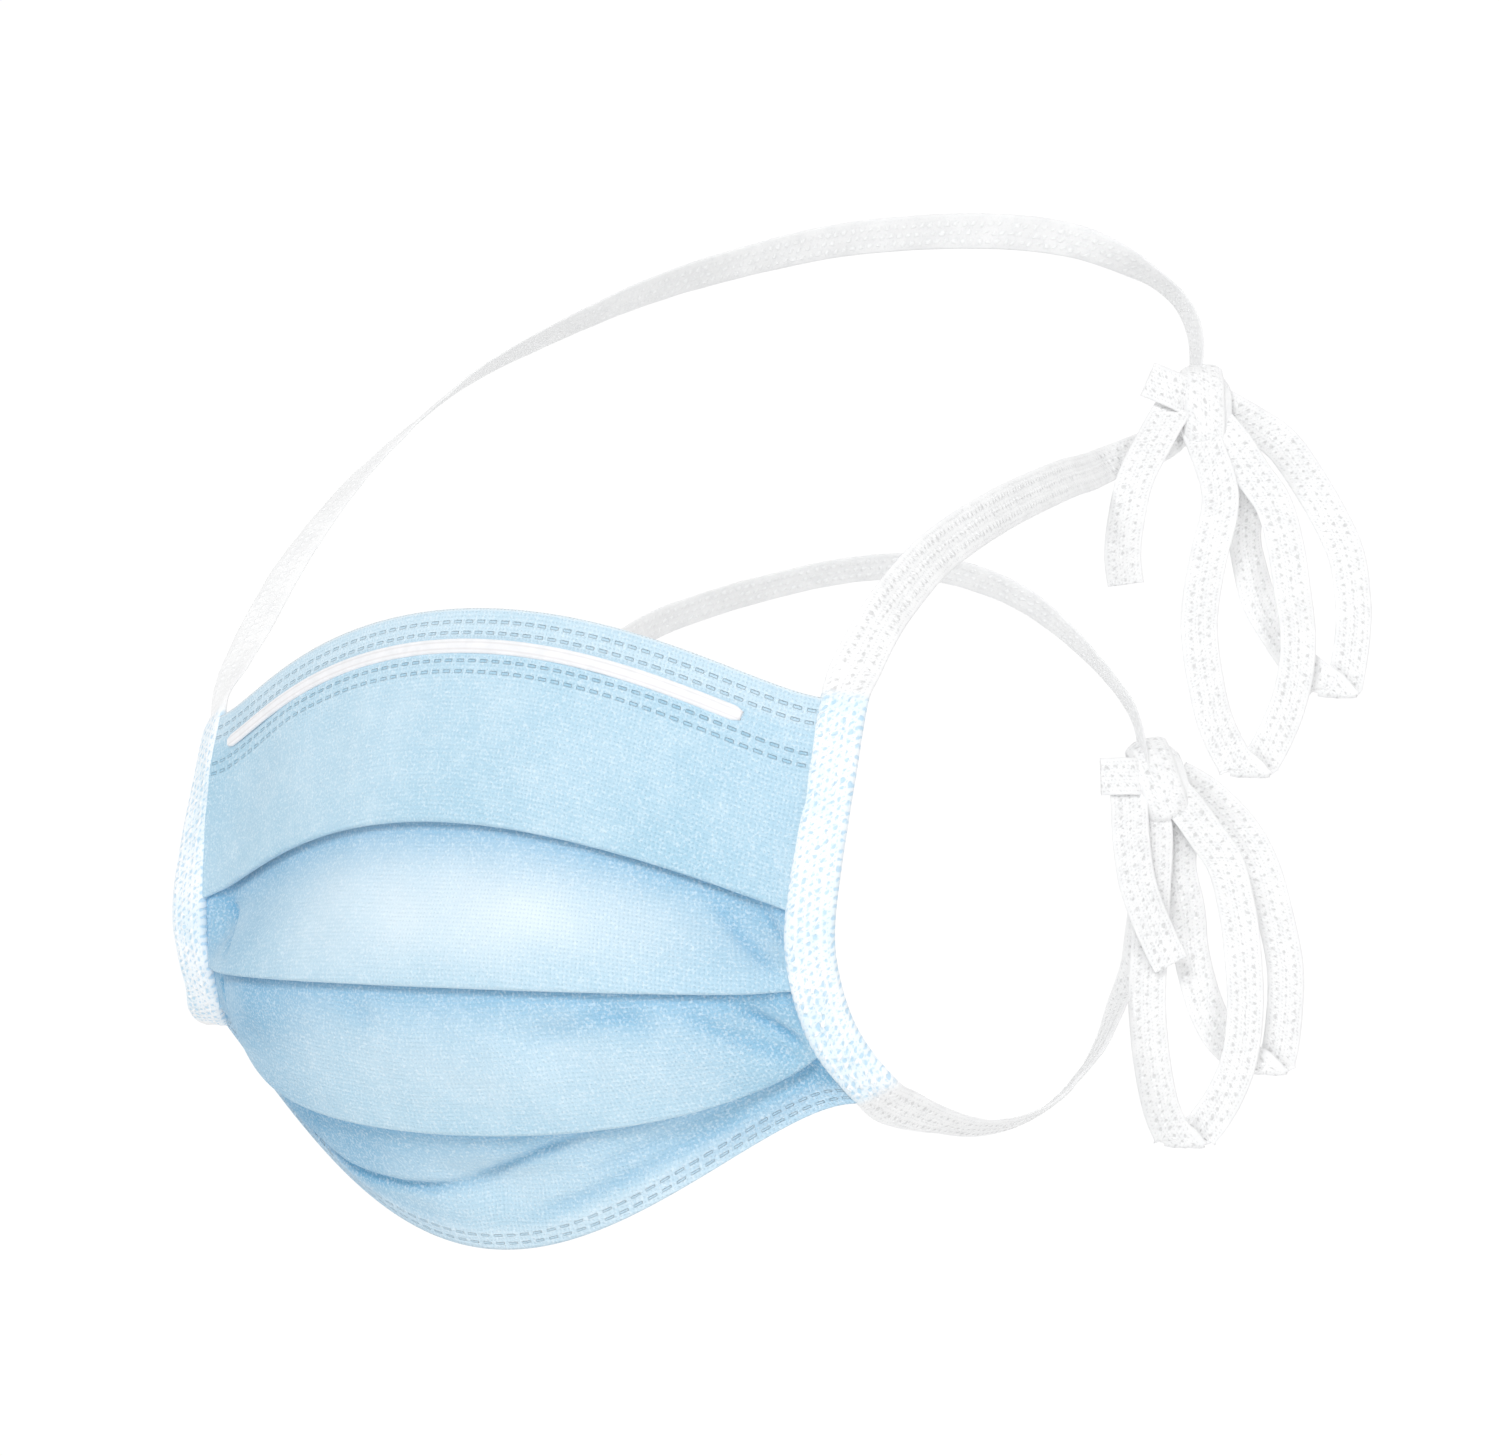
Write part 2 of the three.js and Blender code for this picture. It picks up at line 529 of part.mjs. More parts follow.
// Quads that close a band-shaped ring: outer points first, then the inner ones backwards.
function bandCaps(ringSize) {
  const caps = [];
  for (let i = 0; i + 1 < ringSize / 2; i += 1) {
    caps.push([i, i + 1, ringSize - 2 - i, ringSize - 1 - i]);
  }
  return caps;
}

// The pleated cloth, ending just short of both side tapes.
function clothPanel() {
  const reach = 1 - panelInset / halfChord;
  const rings = [];
  for (let i = 0; i < stationCount; i += 1) {
    rings.push(clothRing(mix(-reach, reach, i / (stationCount - 1))));
  }
  const whole = loft(rings, bandCaps(rings[0].length));
  return outside(outside(whole, bindingRoom("left")), bindingRoom("right"));
}

// Rows down one side edge of the cloth: a point on it, the way outwards along the cloth and the way it faces.
// back is the depth of the pleat layers' middle behind the outer face and stack the half thickness of the pile.
function sideEdge(sideName) {
  const side = sideName === "left" ? 1 : -1;
  const pile = layerPitch + clothWall / 2;
  const rows = edges.map((edge, i) => {
    const point = edgePoint(edge, side);
    const inner = edgePoint(edge, side * (1 - weldRamp / halfChord));
    const folded = i > 0 && i < 4;
    return {
      x: point.x, y: point.y, z: point.z,
      inX: inner.x, inY: inner.y, inZ: inner.z,
      turn: bindingTurn[sideName][i],
      back: folded ? layerPitch : 0,
      stack: folded ? pile : hemWall / 2,
    };
  });
  return refine(rows, sideSteps).map((row, i, all) => {
    const above = all[Math.max(i - 1, 0)];
    const below = all[Math.min(i + 1, all.length - 1)];
    const down = vec(below.x - above.x, below.y - above.y, below.z - above.z).normalize();
    const out = vec(Math.cos(radians(row.turn)), Math.sin(radians(row.turn)), 0).multiplyScalar(side);
    out.addScaledVector(down, -out.dot(down)).normalize();
    const face = outwards(down, out.clone().multiplyScalar(side));
    const point = vec(row.x, row.y, row.z).addScaledVector(face, -row.back);
    const inner = vec(row.inX, row.inY, row.inZ).addScaledVector(face, -row.back);
    return { point, inner, out, face, down, stack: row.stack };
  });
}

// Flat weld that joins the pleat layers along a side and fills the side tape.
function sideWeld(sideName) {
  const half = weldWall / 2;
  const reach = tapeWidth - tapeWall - clearance;
  const rings = sideEdge(sideName).map(({ point, inner, out, face, stack }) => {
    const outline = [
      [inner, 0, -stack], [point, -weldShoulder, -stack], [point, -clearance, -half], [point, reach, -half],
      [point, reach, half], [point, -clearance, half], [point, -weldShoulder, stack], [inner, 0, stack],
    ];
    return outline.map(([from, along, up]) => from.clone().addScaledVector(out, along).addScaledVector(face, up));
  });
  return loft(rings, bandCaps(rings[0].length));
}

// Flat nose wire set into the top hem's outer face, grown by a margin on all sides.
function noseWire(margin) {
  const rows = [];
  for (let i = 0; i <= 22; i += 1) {
    const x = mix(-wireFarReach - margin, wireNearReach + margin, i / 22);
    const t = acrossShare(x);
    const top = edgePoint(edges[0], t);
    const chord = edgePoint(edges[1], t).sub(top);
    const height = chord.length();
    const down = chord.normalize();
    const face = outwards(down, acrossAt(edges[0], t));
    const bulged = panelBulge[0] * wireDrop * (1 - wireDrop / height);
    const point = top.addScaledVector(down, wireDrop);
    point.addScaledVector(face, bulged + hemWall / 2 + wireProud - wireThick / 2 + margin);
    rows.push({ point, face, thick: wireThick + 4 * margin, width: wireWidth + 2 * margin });
  }
  return tapeBody(rows);
}

// Share of the half width at which the top edge is x from the middle.
function acrossShare(x) {
  const wrap = radians(edges[0].wrap);
  return Math.asin(x * Math.sin(wrap) / (halfChord * edges[0].reach)) / wrap;
}

// Flat strip along rows of points, each with the way it faces, its thickness and its width.
function tapeBody(rows) {
  const last = rows.length - 1;
  const rings = rows.map(({ point, face, thick, width }, i) => {
    const way = rows[Math.min(i + 1, last)].point.clone().sub(rows[Math.max(i - 1, 0)].point).normalize();
    const side = way.clone().cross(face).normalize().multiplyScalar(width / 2);
    const up = side.clone().cross(way).normalize().multiplyScalar(thick / 2);
    return [
      point.clone().add(side).add(up),
      point.clone().sub(side).add(up),
      point.clone().sub(side).sub(up),
      point.clone().add(side).sub(up),
    ];
  });
  return loft(rings, [[0, 1, 2, 3]]);
}

// Side tape folded over the cloth's side edge, a little longer than the edge at both ends.
function bindingBody(rows) {
  const halfOuter = bindingHalf();
  const halfSlot = halfOuter - tapeWall;
  const first = rows[0];
  const final = rows[rows.length - 1];
  const above = { ...first, point: first.point.clone().addScaledVector(first.down, -cornerCover) };
  const below = { ...final, point: final.point.clone().addScaledVector(final.down, cornerCover) };
  const rings = [above, ...rows, below].map(({ point, out, face }) => {
    const outline = [
      [0, halfOuter], [tapeWidth, halfOuter], [tapeWidth, -halfOuter], [0, -halfOuter],
      [0, -halfSlot], [tapeWidth - tapeWall, -halfSlot], [tapeWidth - tapeWall, halfSlot], [0, halfSlot],
    ];
    return outline.map(([along, up]) => point.clone().addScaledVector(out, along).addScaledVector(face, up));
  });
  return loft(rings, [[0, 1, 6, 7], [1, 2, 5, 6], [2, 3, 4, 5]]);
}

// Room that a side tape takes, filled in and grown by the clearance.
function bindingRoom(sideName) {
  const half = bindingHalf() + clearance;
  const rows = sideEdge(sideName);
  const first = rows[0];
  const final = rows[rows.length - 1];
  const past = cornerCover + 2 * clearance;
  const above = { ...first, point: first.point.clone().addScaledVector(first.down, -past) };
  const below = { ...final, point: final.point.clone().addScaledVector(final.down, past) };
  const rings = [above, ...rows, below].map(({ point, out, face }) => (
    [[-clearance, half], [tapeWidth, half], [tapeWidth, -half], [-clearance, -half]].map(([along, up]) => (
      point.clone().addScaledVector(out, along).addScaledVector(face, up)
    ))
  ));
  return loft(rings, [[0, 1, 2, 3]]);
}

// Folded-in end of the side tape, past the end of the cloth's edge, where the tie starts.
function cornerBlock(corner, away) {
  const half = bindingHalf() + cornerLap;
  const outline = [
    [-cornerLap, half], [tapeWidth + cornerLap, half], [tapeWidth + cornerLap, -half], [-cornerLap, -half],
  ];
  const rings = [clearance, cornerCover + cornerLap].map((distance) => outline.map(([along, up]) => (
    corner.point.clone().addScaledVector(away, distance)
      .addScaledVector(corner.out, along).addScaledVector(corner.face, up)
  )));
  return loft(rings, [[0, 1, 2, 3]]);
}

function bindingHalf() {
  return weldWall / 2 + clearance + tapeWall;
}

// Smooth rows for a strip from rows that give a point and the way that the tape faces there.
function stripRows(rows, steps) {
  const columns = rows.map(({ point, face }) => ({
    x: point.x, y: point.y, z: point.z, faceX: face.x, faceY: face.y, faceZ: face.z,
  }));
  return refine(columns, steps).map((row) => ({
    point: vec(row.x, row.y, row.z),
    face: vec(row.faceX, row.faceY, row.faceZ).normalize(),
    width: tapeWidth,
    thick: tieThick,
  }));
}

// Tie from a corner of the side tape to a knot.
function tieBody(corner, away, knot, table, side, rise) {
  const base = corner.point.clone().addScaledVector(corner.out, tapeWidth / 2);
  const line = knot.clone().sub(base);
  const start = { point: base.clone().addScaledVector(away, tieStart), face: corner.face };
  const leave = { point: base.clone().addScaledVector(away, cornerCover), face: corner.face };
  const middle = table.map(({ along, out, up, turn, tip }) => ({
    point: base.clone().addScaledVector(line, along).add(vec(side * headBulge * out, 0, rise * up)),
    face: facing(turn, tip),
  }));
  const finish = { point: knot, face: middle[middle.length - 1].face };
  const rows = [...stripRows([start, leave], 1).slice(0, 1), ...stripRows([leave, ...middle, finish], stepsPerTieRow)];
  let distance = 0;
  rows.forEach((row, i) => {
    distance += i > 0 ? row.point.distanceTo(rows[i - 1].point) : 0;
    const past = THREE.MathUtils.smoothstep(distance, 0, tieTaper);
    row.thick = mix(2 * bindingHalf() - tapeWall, tieThick, past);
    row.width = tapeWidth - tieNarrowing * (1 - past);
  });
  return tapeBody(rows);
}

// One strip of tape: binding in its middle, the upper and the lower tie at its ends.
function sideTape(sideName, upperTable, lowerTable) {
  const side = sideName === "left" ? 1 : -1;
  const rows = sideEdge(sideName);
  const top = rows[0];
  const bottom = rows[rows.length - 1];
  const upwards = top.down.clone().negate();
  return bindingBody(rows)
    .add(cornerBlock(top, upwards))
    .add(cornerBlock(bottom, bottom.down))
    .add(tieBody(top, upwards, upperKnotPlace(), upperTable, side, crownRise))
    .add(tieBody(bottom, bottom.down, lowerKnotPlace(), lowerTable, side, napeRise));
}

function upperKnotPlace() {
  return vec(upperKnotSide, upperKnotBack, upperKnotRise);
}

function lowerKnotPlace() {
  return vec(lowerKnotSide, lowerKnotBack, -lowerKnotDrop);
}

// Place in a bow, from its knot: across and up in the bow's own plane, front towards the mask's left front.
function bowPoint(knot, across, up, front) {
  const right = vec(Math.cos(radians(bowTurn)), Math.sin(radians(bowTurn)), 0);
  return knot.clone().addScaledVector(right, across).addScaledVector(facing(bowTurn, 0), front)
    .add(vec(0, 0, up));
}

function strandBody(knot, length, table) {
  const rows = table.map(({ across, down, front, turn, tip }) => ({
    point: bowPoint(knot, across * length, -down * length, front * bowDepth),
    face: facing(bowTurn + turn, tip),
  }));
  return tapeBody(stripRows(rows, stepsPerLoopRow));
}

// Loop of a bow: down one strand, round a flat fold at the bottom and up the other strand behind it.
function loopBody(knot, length, { leftStrand, rightStrand, bottom }) {
  const radius = foldRadius;
  const fold = [0, 45, 90, 135, 180].map((angle) => ({
    across: bottom.across + (angle / 90 - 1) * 0.6 * radius / length,
    down: bottom.down - (1 - Math.sin(radians(angle))) * radius / length,
    front: bottom.front + Math.cos(radians(angle)) * radius / bowDepth,
    turn: 0,
    tip: -angle,
  }));
  const up = rightStrand.map((row) => ({ ...row, tip: -180 + row.tip, turn: -row.turn }));
  return strandBody(knot, length, [...leftStrand, ...fold, ...up]);
}

// Knot: a turn of tape round the gathered strands, with a small folded end at its side.
function knotBody(knot, lean, flap, margin) {
  const right = vec(Math.cos(radians(bowTurn)), Math.sin(radians(bowTurn)), 0);
  const front = facing(bowTurn, 0);
  const axis = right.clone().multiplyScalar(Math.cos(radians(lean))).add(vec(0, 0, Math.sin(radians(lean))));
  const upwards = vec(0, 0, Math.cos(radians(lean))).addScaledVector(right, -Math.sin(radians(lean)));
  const middle = bowPoint(knot, 0.14 * knotHeight, -0.05 * knotHeight, 0);
  const rings = [];
  const around = 20;
  for (let i = 0; i < around; i += 1) {
    const angle = 2 * Math.PI * i / around;
    const rim = (half, grow) => {
      const high = Math.sign(Math.cos(angle)) * Math.abs(Math.cos(angle)) ** 0.8 * (knotHeight / 2 + grow);
      const deep = Math.sign(Math.sin(angle)) * Math.abs(Math.sin(angle)) ** 0.8 * (knotDepth / 2 + grow);
      return middle.clone().addScaledVector(axis, half).addScaledVector(upwards, high).addScaledVector(front, deep);
    };
    const half = tapeWidth / 2 + margin;
    rings.push([rim(half, margin), rim(-half, margin), rim(-half, -2 * tieThick), rim(half, -2 * tieThick)]);
  }
  const band = loft(rings, [], true);
  const core = coreBody(middle, axis, upwards, front, margin);
  const flapRows = stripRows(flap.map(({ across, up, front: forward, turn, tip }) => ({
    point: bowPoint(knot, across * knotHeight, up * knotHeight, forward * knotDepth),
    face: facing(bowTurn + turn, tip),
  })), 3);
  for (const row of flapRows) {
    row.width += 2 * margin;
    row.thick += 2 * margin;
  }
  return band.add(core).add(tapeBody(flapRows));
}

// The gathered strands inside the knot's turn.
function coreBody(middle, axis, upwards, front, margin) {
  const slices = 6;
  const rings = [];
  for (let i = 0; i <= slices; i += 1) {
    const along = mix(-1, 1, i / slices);
    const swell = Math.sqrt(1 - 0.75 * along * along);
    const ring = [];
    for (let j = 0; j < 12; j += 1) {
      const angle = 2 * Math.PI * j / 12;
      const high = Math.cos(angle) * swell * ((knotHeight - tieThick) / 2 + margin);
      const deep = Math.sin(angle) * swell * ((knotDepth - tieThick) / 2 + margin);
      ring.push(middle.clone().addScaledVector(axis, along * (knotCoreWidth / 2 + margin))
        .addScaledVector(upwards, high).addScaledVector(front, deep));
    }
    rings.push(ring);
  }
  return loft(rings, [Array.from({ length: 12 }, (_, j) => j)]);
}

const upperKnot = upperKnotPlace();
const lowerKnot = lowerKnotPlace();
const upperLean = 10;
const lowerLean = -22;
const knots = {
  upper: knotBody(upperKnot, upperLean, upperKnotFlap, 0),
  lower: knotBody(lowerKnot, lowerLean, lowerKnotFlap, 0),
};
const knotRoom = {
  upper: knotBody(upperKnot, upperLean, upperKnotFlap, clearance),
  lower: knotBody(lowerKnot, lowerLean, lowerKnotFlap, clearance),
};

// What is left of a strand outside a knot.
function outside(body, room) {
  const pieces = body.subtract(room).decompose();
  return pieces.reduce((best, piece) => (piece.volume() > best.volume() ? piece : best));
}

const cloth = clothPanel().add(sideWeld("left")).add(sideWeld("right")).subtract(noseWire(clearance));
const rightTape = outside(outside(sideTape("right", upperRightTie, lowerRightTie), knotRoom.upper), knotRoom.lower);
const leftTape = outside(outside(sideTape("left", upperLeftTie, lowerLeftTie), knotRoom.upper), knotRoom.lower);

const maskGroup = new THREE.Group();
maskGroup.add(asMesh("mask_body", cloth, paleBlue));
maskGroup.add(asMesh("nose_wire", noseWire(0), wirePink));
maskGroup.add(asMesh("left_tape", leftTape, white));
maskGroup.add(asMesh("right_tape", rightTape, white));

function bowGroup(name, knot, length, frontLoop, backLoop, tail) {
  const bow = new THREE.Group();
  const room = knotRoom[name];
  bow.add(asMesh(`${name}_knot`, knots[name], white));
  bow.add(asMesh(`${name}_loop_front`, outside(loopBody(knot, length, frontLoop), room), white));
  bow.add(asMesh(`${name}_loop_back`, outside(loopBody(knot, length, backLoop), room), white));
  bow.add(asMesh(`${name}_tail`, outside(strandBody(knot, length, tail), room), white));
  return bow;
}

const mask = new THREE.Group();
mask.add(maskGroup);
mask.add(bowGroup("upper", upperKnot, upperLoopLength, upperFrontLoop, upperBackLoop, upperTail));
mask.add(bowGroup("lower", lowerKnot, lowerLoopLength, lowerFrontLoop, lowerBackLoop, lowerTail));

export default mask;
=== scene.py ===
"""Pleated surgical face mask with ties, held in its worn shape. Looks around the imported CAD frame.

The wearer faces -Y, +X is the wearer's left, +Z is up. Shapes are worked out in millimetres and stored in
metres.
"""
import math

import bpy
import numpy as np
from mathutils import Matrix, Vector


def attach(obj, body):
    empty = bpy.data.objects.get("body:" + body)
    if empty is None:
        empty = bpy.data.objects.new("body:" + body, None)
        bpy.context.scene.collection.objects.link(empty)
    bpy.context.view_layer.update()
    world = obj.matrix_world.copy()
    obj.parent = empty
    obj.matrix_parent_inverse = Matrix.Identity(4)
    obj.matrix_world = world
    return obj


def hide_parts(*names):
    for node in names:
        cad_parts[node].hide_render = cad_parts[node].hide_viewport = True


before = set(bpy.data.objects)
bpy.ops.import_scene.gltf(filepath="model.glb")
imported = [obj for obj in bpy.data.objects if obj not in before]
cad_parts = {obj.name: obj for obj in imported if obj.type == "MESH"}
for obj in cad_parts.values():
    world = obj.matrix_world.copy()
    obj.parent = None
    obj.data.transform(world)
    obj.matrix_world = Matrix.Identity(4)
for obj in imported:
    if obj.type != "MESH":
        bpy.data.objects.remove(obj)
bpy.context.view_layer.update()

METRE = 0.001

# Camera
CAMERA_PLACE = (362.8, -420.6, -70.1)
CAMERA_TURN = 34.56
CAMERA_TIP = -4.99
CAMERA_ROLL = -2.07
CAMERA_LENS = 65.916
SENSOR_WIDTH = 36
NEAR_CLIP = 0.01
FAR_CLIP = 30

# Stage, in metres, and the strength of its sky behind and in front of the object
FLOOR_SIZE = 6
FLOOR_HEIGHT = -1.0
SKY_BACK = 0.5
SKY_FRONT = 1.03

# Cloth panel
HALF_CHORD = 79
MASK_DROP = 128
CHEEK_DEPTH = 25
LAYER_PITCH = 1.2
SIDE_PITCH = 0.6
CLOTH_WALL = 0.5
HEM_WALL = 0.9
HEM_HEIGHT = 17
LOWER_HEM = 4.2
TUCK_MIDDLE = 4.5
TUCK_SIDE = 12
SIDE_TAB = 2.4
PANEL_BULGE = (0.12, 0.2, 0.2, 0.06)
STATIONS = 231
PANEL_ROWS = (44, 30, 28, 40)
TURN_STEPS = 6
HIDDEN_ROWS = 13
# Painted light and painted shade of each panel: strength of the painted light at its middle, strength of the
# painted shade towards its sides, and where that shade starts on the far side.
PANEL_PAINTED_LIGHT = (0.1, 1.0, 0.4, 0.3)
PANEL_PAINTED_SHADE = (0.10, 0.4, 0.65, 1.0)
PAINTED_SHADE_REACH = (0.3, 0.2, 0.1, -0.1)

# Rows of weld dashes: distance from an edge and half width.
TOP_WELDS = ((2.9, 0.3), (5.3, 0.3), (11.3, 0.3), (13.6, 0.3))
BOTTOM_WELDS = ((1.5, 0.22), (3.3, 0.22))
DASH_PITCH = 3.0
DASH_SHARE = 0.6
BOND_TURN = 3.6

# Nose strip
WIRE_WIDTH = 3.0
WIRE_THICK = 0.9
WIRE_LIFT = 0.15
WIRE_STATIONS = 181
WIRE_DROP = 8.2
WIRE_FAR = 73
WIRE_NEAR = 66

# Tape
TAPE_WIDTH = 9.6
BINDING_THICK = 3.4
BINDING_SET = 0.4
TIE_THICK = 0.8
CORNER_COVER = 2.0
ROW_STEP = 0.55
DOT_LIFT = 0.14
STRIP_SIDES = 16
FAINT_SHARE = 0.25
DOT_PITCH = 2.3
DOT_GAP = 2.4
DOT_SLANT = 0.35
PIN_PITCH = 0.95
SPECK_GAP = 1.55
SPECK_PITCH = 1.8

# Knots and bows
UPPER_KNOT = np.array([52.0, 229.0, 82.0])
LOWER_KNOT = np.array([45.0, 222.0, -17.0])
HEAD_BULGE = 40
CROWN_RISE = 100
NAPE_RISE = 60
BOW_TURN = 35
UPPER_LOOP = 99
LOWER_LOOP = 95.5
BOW_DEPTH = 6
FOLD_RADIUS = 1.1
KNOT_HEIGHT = 22
KNOT_DEPTH = 11
KNOT_CORE = 15
UPPER_LEAN = 3
LOWER_LEAN = 20
BAND_WIDTH = 10.8
BAND_WALL = 2.2
CORE_INSET = 0.9

# Edges of the cloth: reach, side back, middle back, wrap, curl, side fall, middle fall, sway, tuck, lean,
# swing back, swing fall.
EDGES = (
    (1.003, 0.57, 0.0, 55, -0.22, 0.145, 0.0, 0.2, -0.28, 0.0, 0.0, 0.0),
    (0.969, 0.35, -0.32, 42, -0.43, 0.458, 0.333, 0.25, -0.03, 0.0, 0.0, 0.0),
    (0.967, 0.464, -0.536, 60, -0.03, 0.577, 0.588, -0.12, 0.17, 0.0, 0.0, 0.0),
    (0.992, 0.72, -0.092, 74.5, -0.59, 0.662, 0.817, -0.32, -0.37, 0.0125, 0.0, 0.0),
    (1.055, 1.004, 0.549, 68.8, -0.05, 0.7095, 1.0, 0.82, 0.01, 0.031, 0.097, 0.013),
)
BINDING_TURN = {-1: (-28, -2, -4, -8, -12), 1: (10, 20, 28, 26, 20)}

# Dents: panel, across, down, wide, high, deep.
DENTS = (
    (1, 0.9, 0.5, 9, 11, 2.2),
    (2, 0.86, 0.45, 10, 9, 2.0),
    (2, 0.35, 0.35, 12, 9, 1.2),
    (1, -0.9, 0.5, 8, 10, 1.8),
    (2, -0.55, 0.6, 14, 8, 1.4),
    (3, 0.12, 0.45, 16, 7, 2.4),
    (3, 0.6, 0.5, 16, 8, 1.2),
    (0, -0.75, 0.6, 18, 16, 1.6),
)

# Creases: panel, across and down at both ends, wide, deep.
CREASES = (
    (1, 0.76, 0.1, 0.98, 0.85, 1.7, 0.7),
    (1, 0.9, 0.0, 1.0, 0.5, 1.0, 0.7),
    (2, 0.84, 0.1, 0.97, 0.8, 1.5, 1.1),
    (2, 0.68, 0.1, 0.93, 0.95, 2.2, 0.7),
    (1, -0.94, 0.05, -0.74, 0.9, 1.6, 1.0),
    (2, -0.92, 0.05, -0.8, 0.9, 1.6, 1.0),
    (3, -0.6, 0.86, 0.08, 0.47, 1.1, 1.6),
    (3, 0.02, 0.5, 0.36, 0.05, 1.1, 1.6),
    (3, 0.15, 0.75, 0.75, 0.42, 1.8, 0.9),
    (3, 0.3, 0.95, 0.9, 0.6, 1.4, 0.6),
    (3, 0.3, 0.5, 0.7, 0.2, 1.8, 0.7),
    (2, 0.45, 0.05, 0.62, 0.3, 3.0, 0.7),
    (2, 0.3, 0.35, 0.6, 0.15, 2.2, 0.6),
    (2, -0.2, 0.05, -0.08, 0.3, 2.6, 0.6),
)

# Ties from mask corner to knot: along, out, up, turn, tip.
UPPER_RIGHT_TIE = (
    (0.03, 0.2, 0.05, -14, 22), (0.06, 0.38, 0.087, -4, 38), (0.105, 0.62, 0.147, 6, 42),
    (0.159, 0.88, 0.229, 4, 41), (0.217, 1.11, 0.309, -5, 42), (0.284, 1.34, 0.391, -18, 45),
    (0.372, 1.57, 0.478, -36, 47), (0.466, 1.72, 0.554, -58, 49), (0.632, 1.75, 0.628, -95, 47),
    (0.768, 1.51, 0.642, -131, 41), (0.839, 1.2, 0.618, -146, 35), (0.894, 0.79, 0.568, -150, 30),
    (0.953, 0.59, 0.493, -158, 37), (0.99, 0.44, 0.407, -183, 50), (1.013, 0.32, 0.331, -220, 47),
    (1.024, 0.18, 0.239, -221, 28), (1.026, 0.11, 0.127, -221, 5),
)
UPPER_LEFT_TIE = (
    (0.03, 0.0, 0.049, 52, 22), (0.07, 0.01, 0.097, 68, 26), (0.125, 0.0, 0.122, 78, 28),
    (0.221, -0.02, 0.138, 86, 26), (0.385, -0.04, 0.115, 91, 20), (0.63, -0.17, 0.03, 90, 20),
    (0.76, -0.28, -0.03, 90, 22), (0.905, -0.47, -0.1, 78, 24), (0.945, -0.46, -0.11, 56, 26),
    (0.965, -0.36, -0.106, 38, 16), (0.972, -0.23, -0.095, 35, 6), (0.984, -0.13, -0.09, 35, 2),
)
LOWER_RIGHT_TIE = (
    (0.013, 0.04, -0.068, -12, -90), (0.031, 0.1, -0.044, -185, -45), (0.05, 0.17, 0.07, -172, -36),
    (0.157, 0.42, 0.281, -140, -20), (0.319, 0.83, 0.542, -115, 5), (0.471, 1.19, 0.77, -105, 18),
    (0.631, 1.55, 0.962, -98, 30), (0.702, 1.56, 1.019, -104, 40), (0.794, 1.54, 1.05, -120, 49),
    (0.843, 1.23, 1.071, -146, 55), (0.883, 0.86, 1.025, -168, 51), (0.932, 0.55, 0.853, -186, 47),
    (0.971, 0.33, 0.604, -214, 42), (0.981, 0.09, 0.389, -228, 34), (0.982, -0.04, 0.252, -232, 18),
)
LOWER_LEFT_TIE = (
    (0.03, 0.02, -0.078, 50, -32), (0.065, 0.06, -0.155, 56, -44), (0.153, 0.15, -0.315, 74, -68),
    (0.25, 0.23, -0.454, 97, -64), (0.375, 0.27, -0.578, 110, -57), (0.502, 0.24, -0.672, 133, -42),
    (0.68, 0.145, -0.785, 142, -38), (0.88, -0.05, -0.932, 147, -35), (0.982, -0.132, -0.963, 153, -33),
    (1.012, -0.1, -0.9, 162, -28), (1.015, -0.05, -0.82, 176, -20), (1.012, -0.018, -0.72, 190, -12),
    (1.007, 0.02, -0.617, 202, -6), (1.006, 0.024, -0.492, 212, 0), (1.006, 0.02, -0.345, 215, 0),
)

# Bow strands: across, down, front, turn, tip. A loop's fold: across, down, front.
UPPER_FRONT_LEFT = (
    (0.01, 0.05, 0.3, 0, 0), (0.04, 0.127, 0.55, 0, 0), (0.072, 0.227, 0.8, -6, 0),
    (0.073, 0.304, 0.95, -10, 0), (0.049, 0.411, 1.0, -8, 2), (0.029, 0.54, 1.0, -4, 2),
    (0.028, 0.634, 1.0, 0, 2), (0.048, 0.748, 0.85, 4, 0), (0.079, 0.856, 0.7, 4, -4),
    (0.132, 0.953, 0.5, 0, -6),
)
UPPER_FRONT_RIGHT = (
    (0.222, 0.921, 0.1, 0, 6), (0.267, 0.817, 0.12, -6, 4), (0.291, 0.712, 0.25, -8, 0),
    (0.293, 0.612, 0.4, -6, 0), (0.277, 0.506, 0.45, 0, 0), (0.254, 0.374, 0.45, 6, 0),
    (0.221, 0.268, 0.42, 8, -4), (0.167, 0.193, 0.46, 4, -4), (0.11, 0.107, 0.42, 0, 0),
    (0.05, 0.04, 0.3, 0, 0),
)
UPPER_FRONT_FOLD = (0.175, 0.99, 0.32)
UPPER_BACK_LEFT = (
    (0.06, 0.04, -0.45, 0, 0), (0.126, 0.135, -0.5, 0, 0), (0.161, 0.233, -0.55, 12, 0),
    (0.16, 0.348, -0.65, 18, 0), (0.175, 0.43, -0.65, 12, 0), (0.201, 0.519, -0.6, 6, 0),
    (0.243, 0.591, -0.55, 0, 0), (0.309, 0.681, -0.55, 0, 0), (0.375, 0.732, -0.6, 0, -4),
)
UPPER_BACK_RIGHT = (
    (0.438, 0.722, -1.0, 0, 4), (0.448, 0.67, -1.0, -4, 4), (0.457, 0.585, -1.0, -6, 2),
    (0.456, 0.507, -1.0, -2, 0), (0.434, 0.386, -0.85, 4, -2), (0.38, 0.278, -0.7, 6, -4),
    (0.298, 0.155, -0.5, 6, -8), (0.24, 0.089, -0.42, 4, -8), (0.161, 0.041, -0.32, 0, -4),
    (0.08, 0.0, -0.2, 0, 0),
)
UPPER_BACK_FOLD = (0.415, 0.765, -0.78)
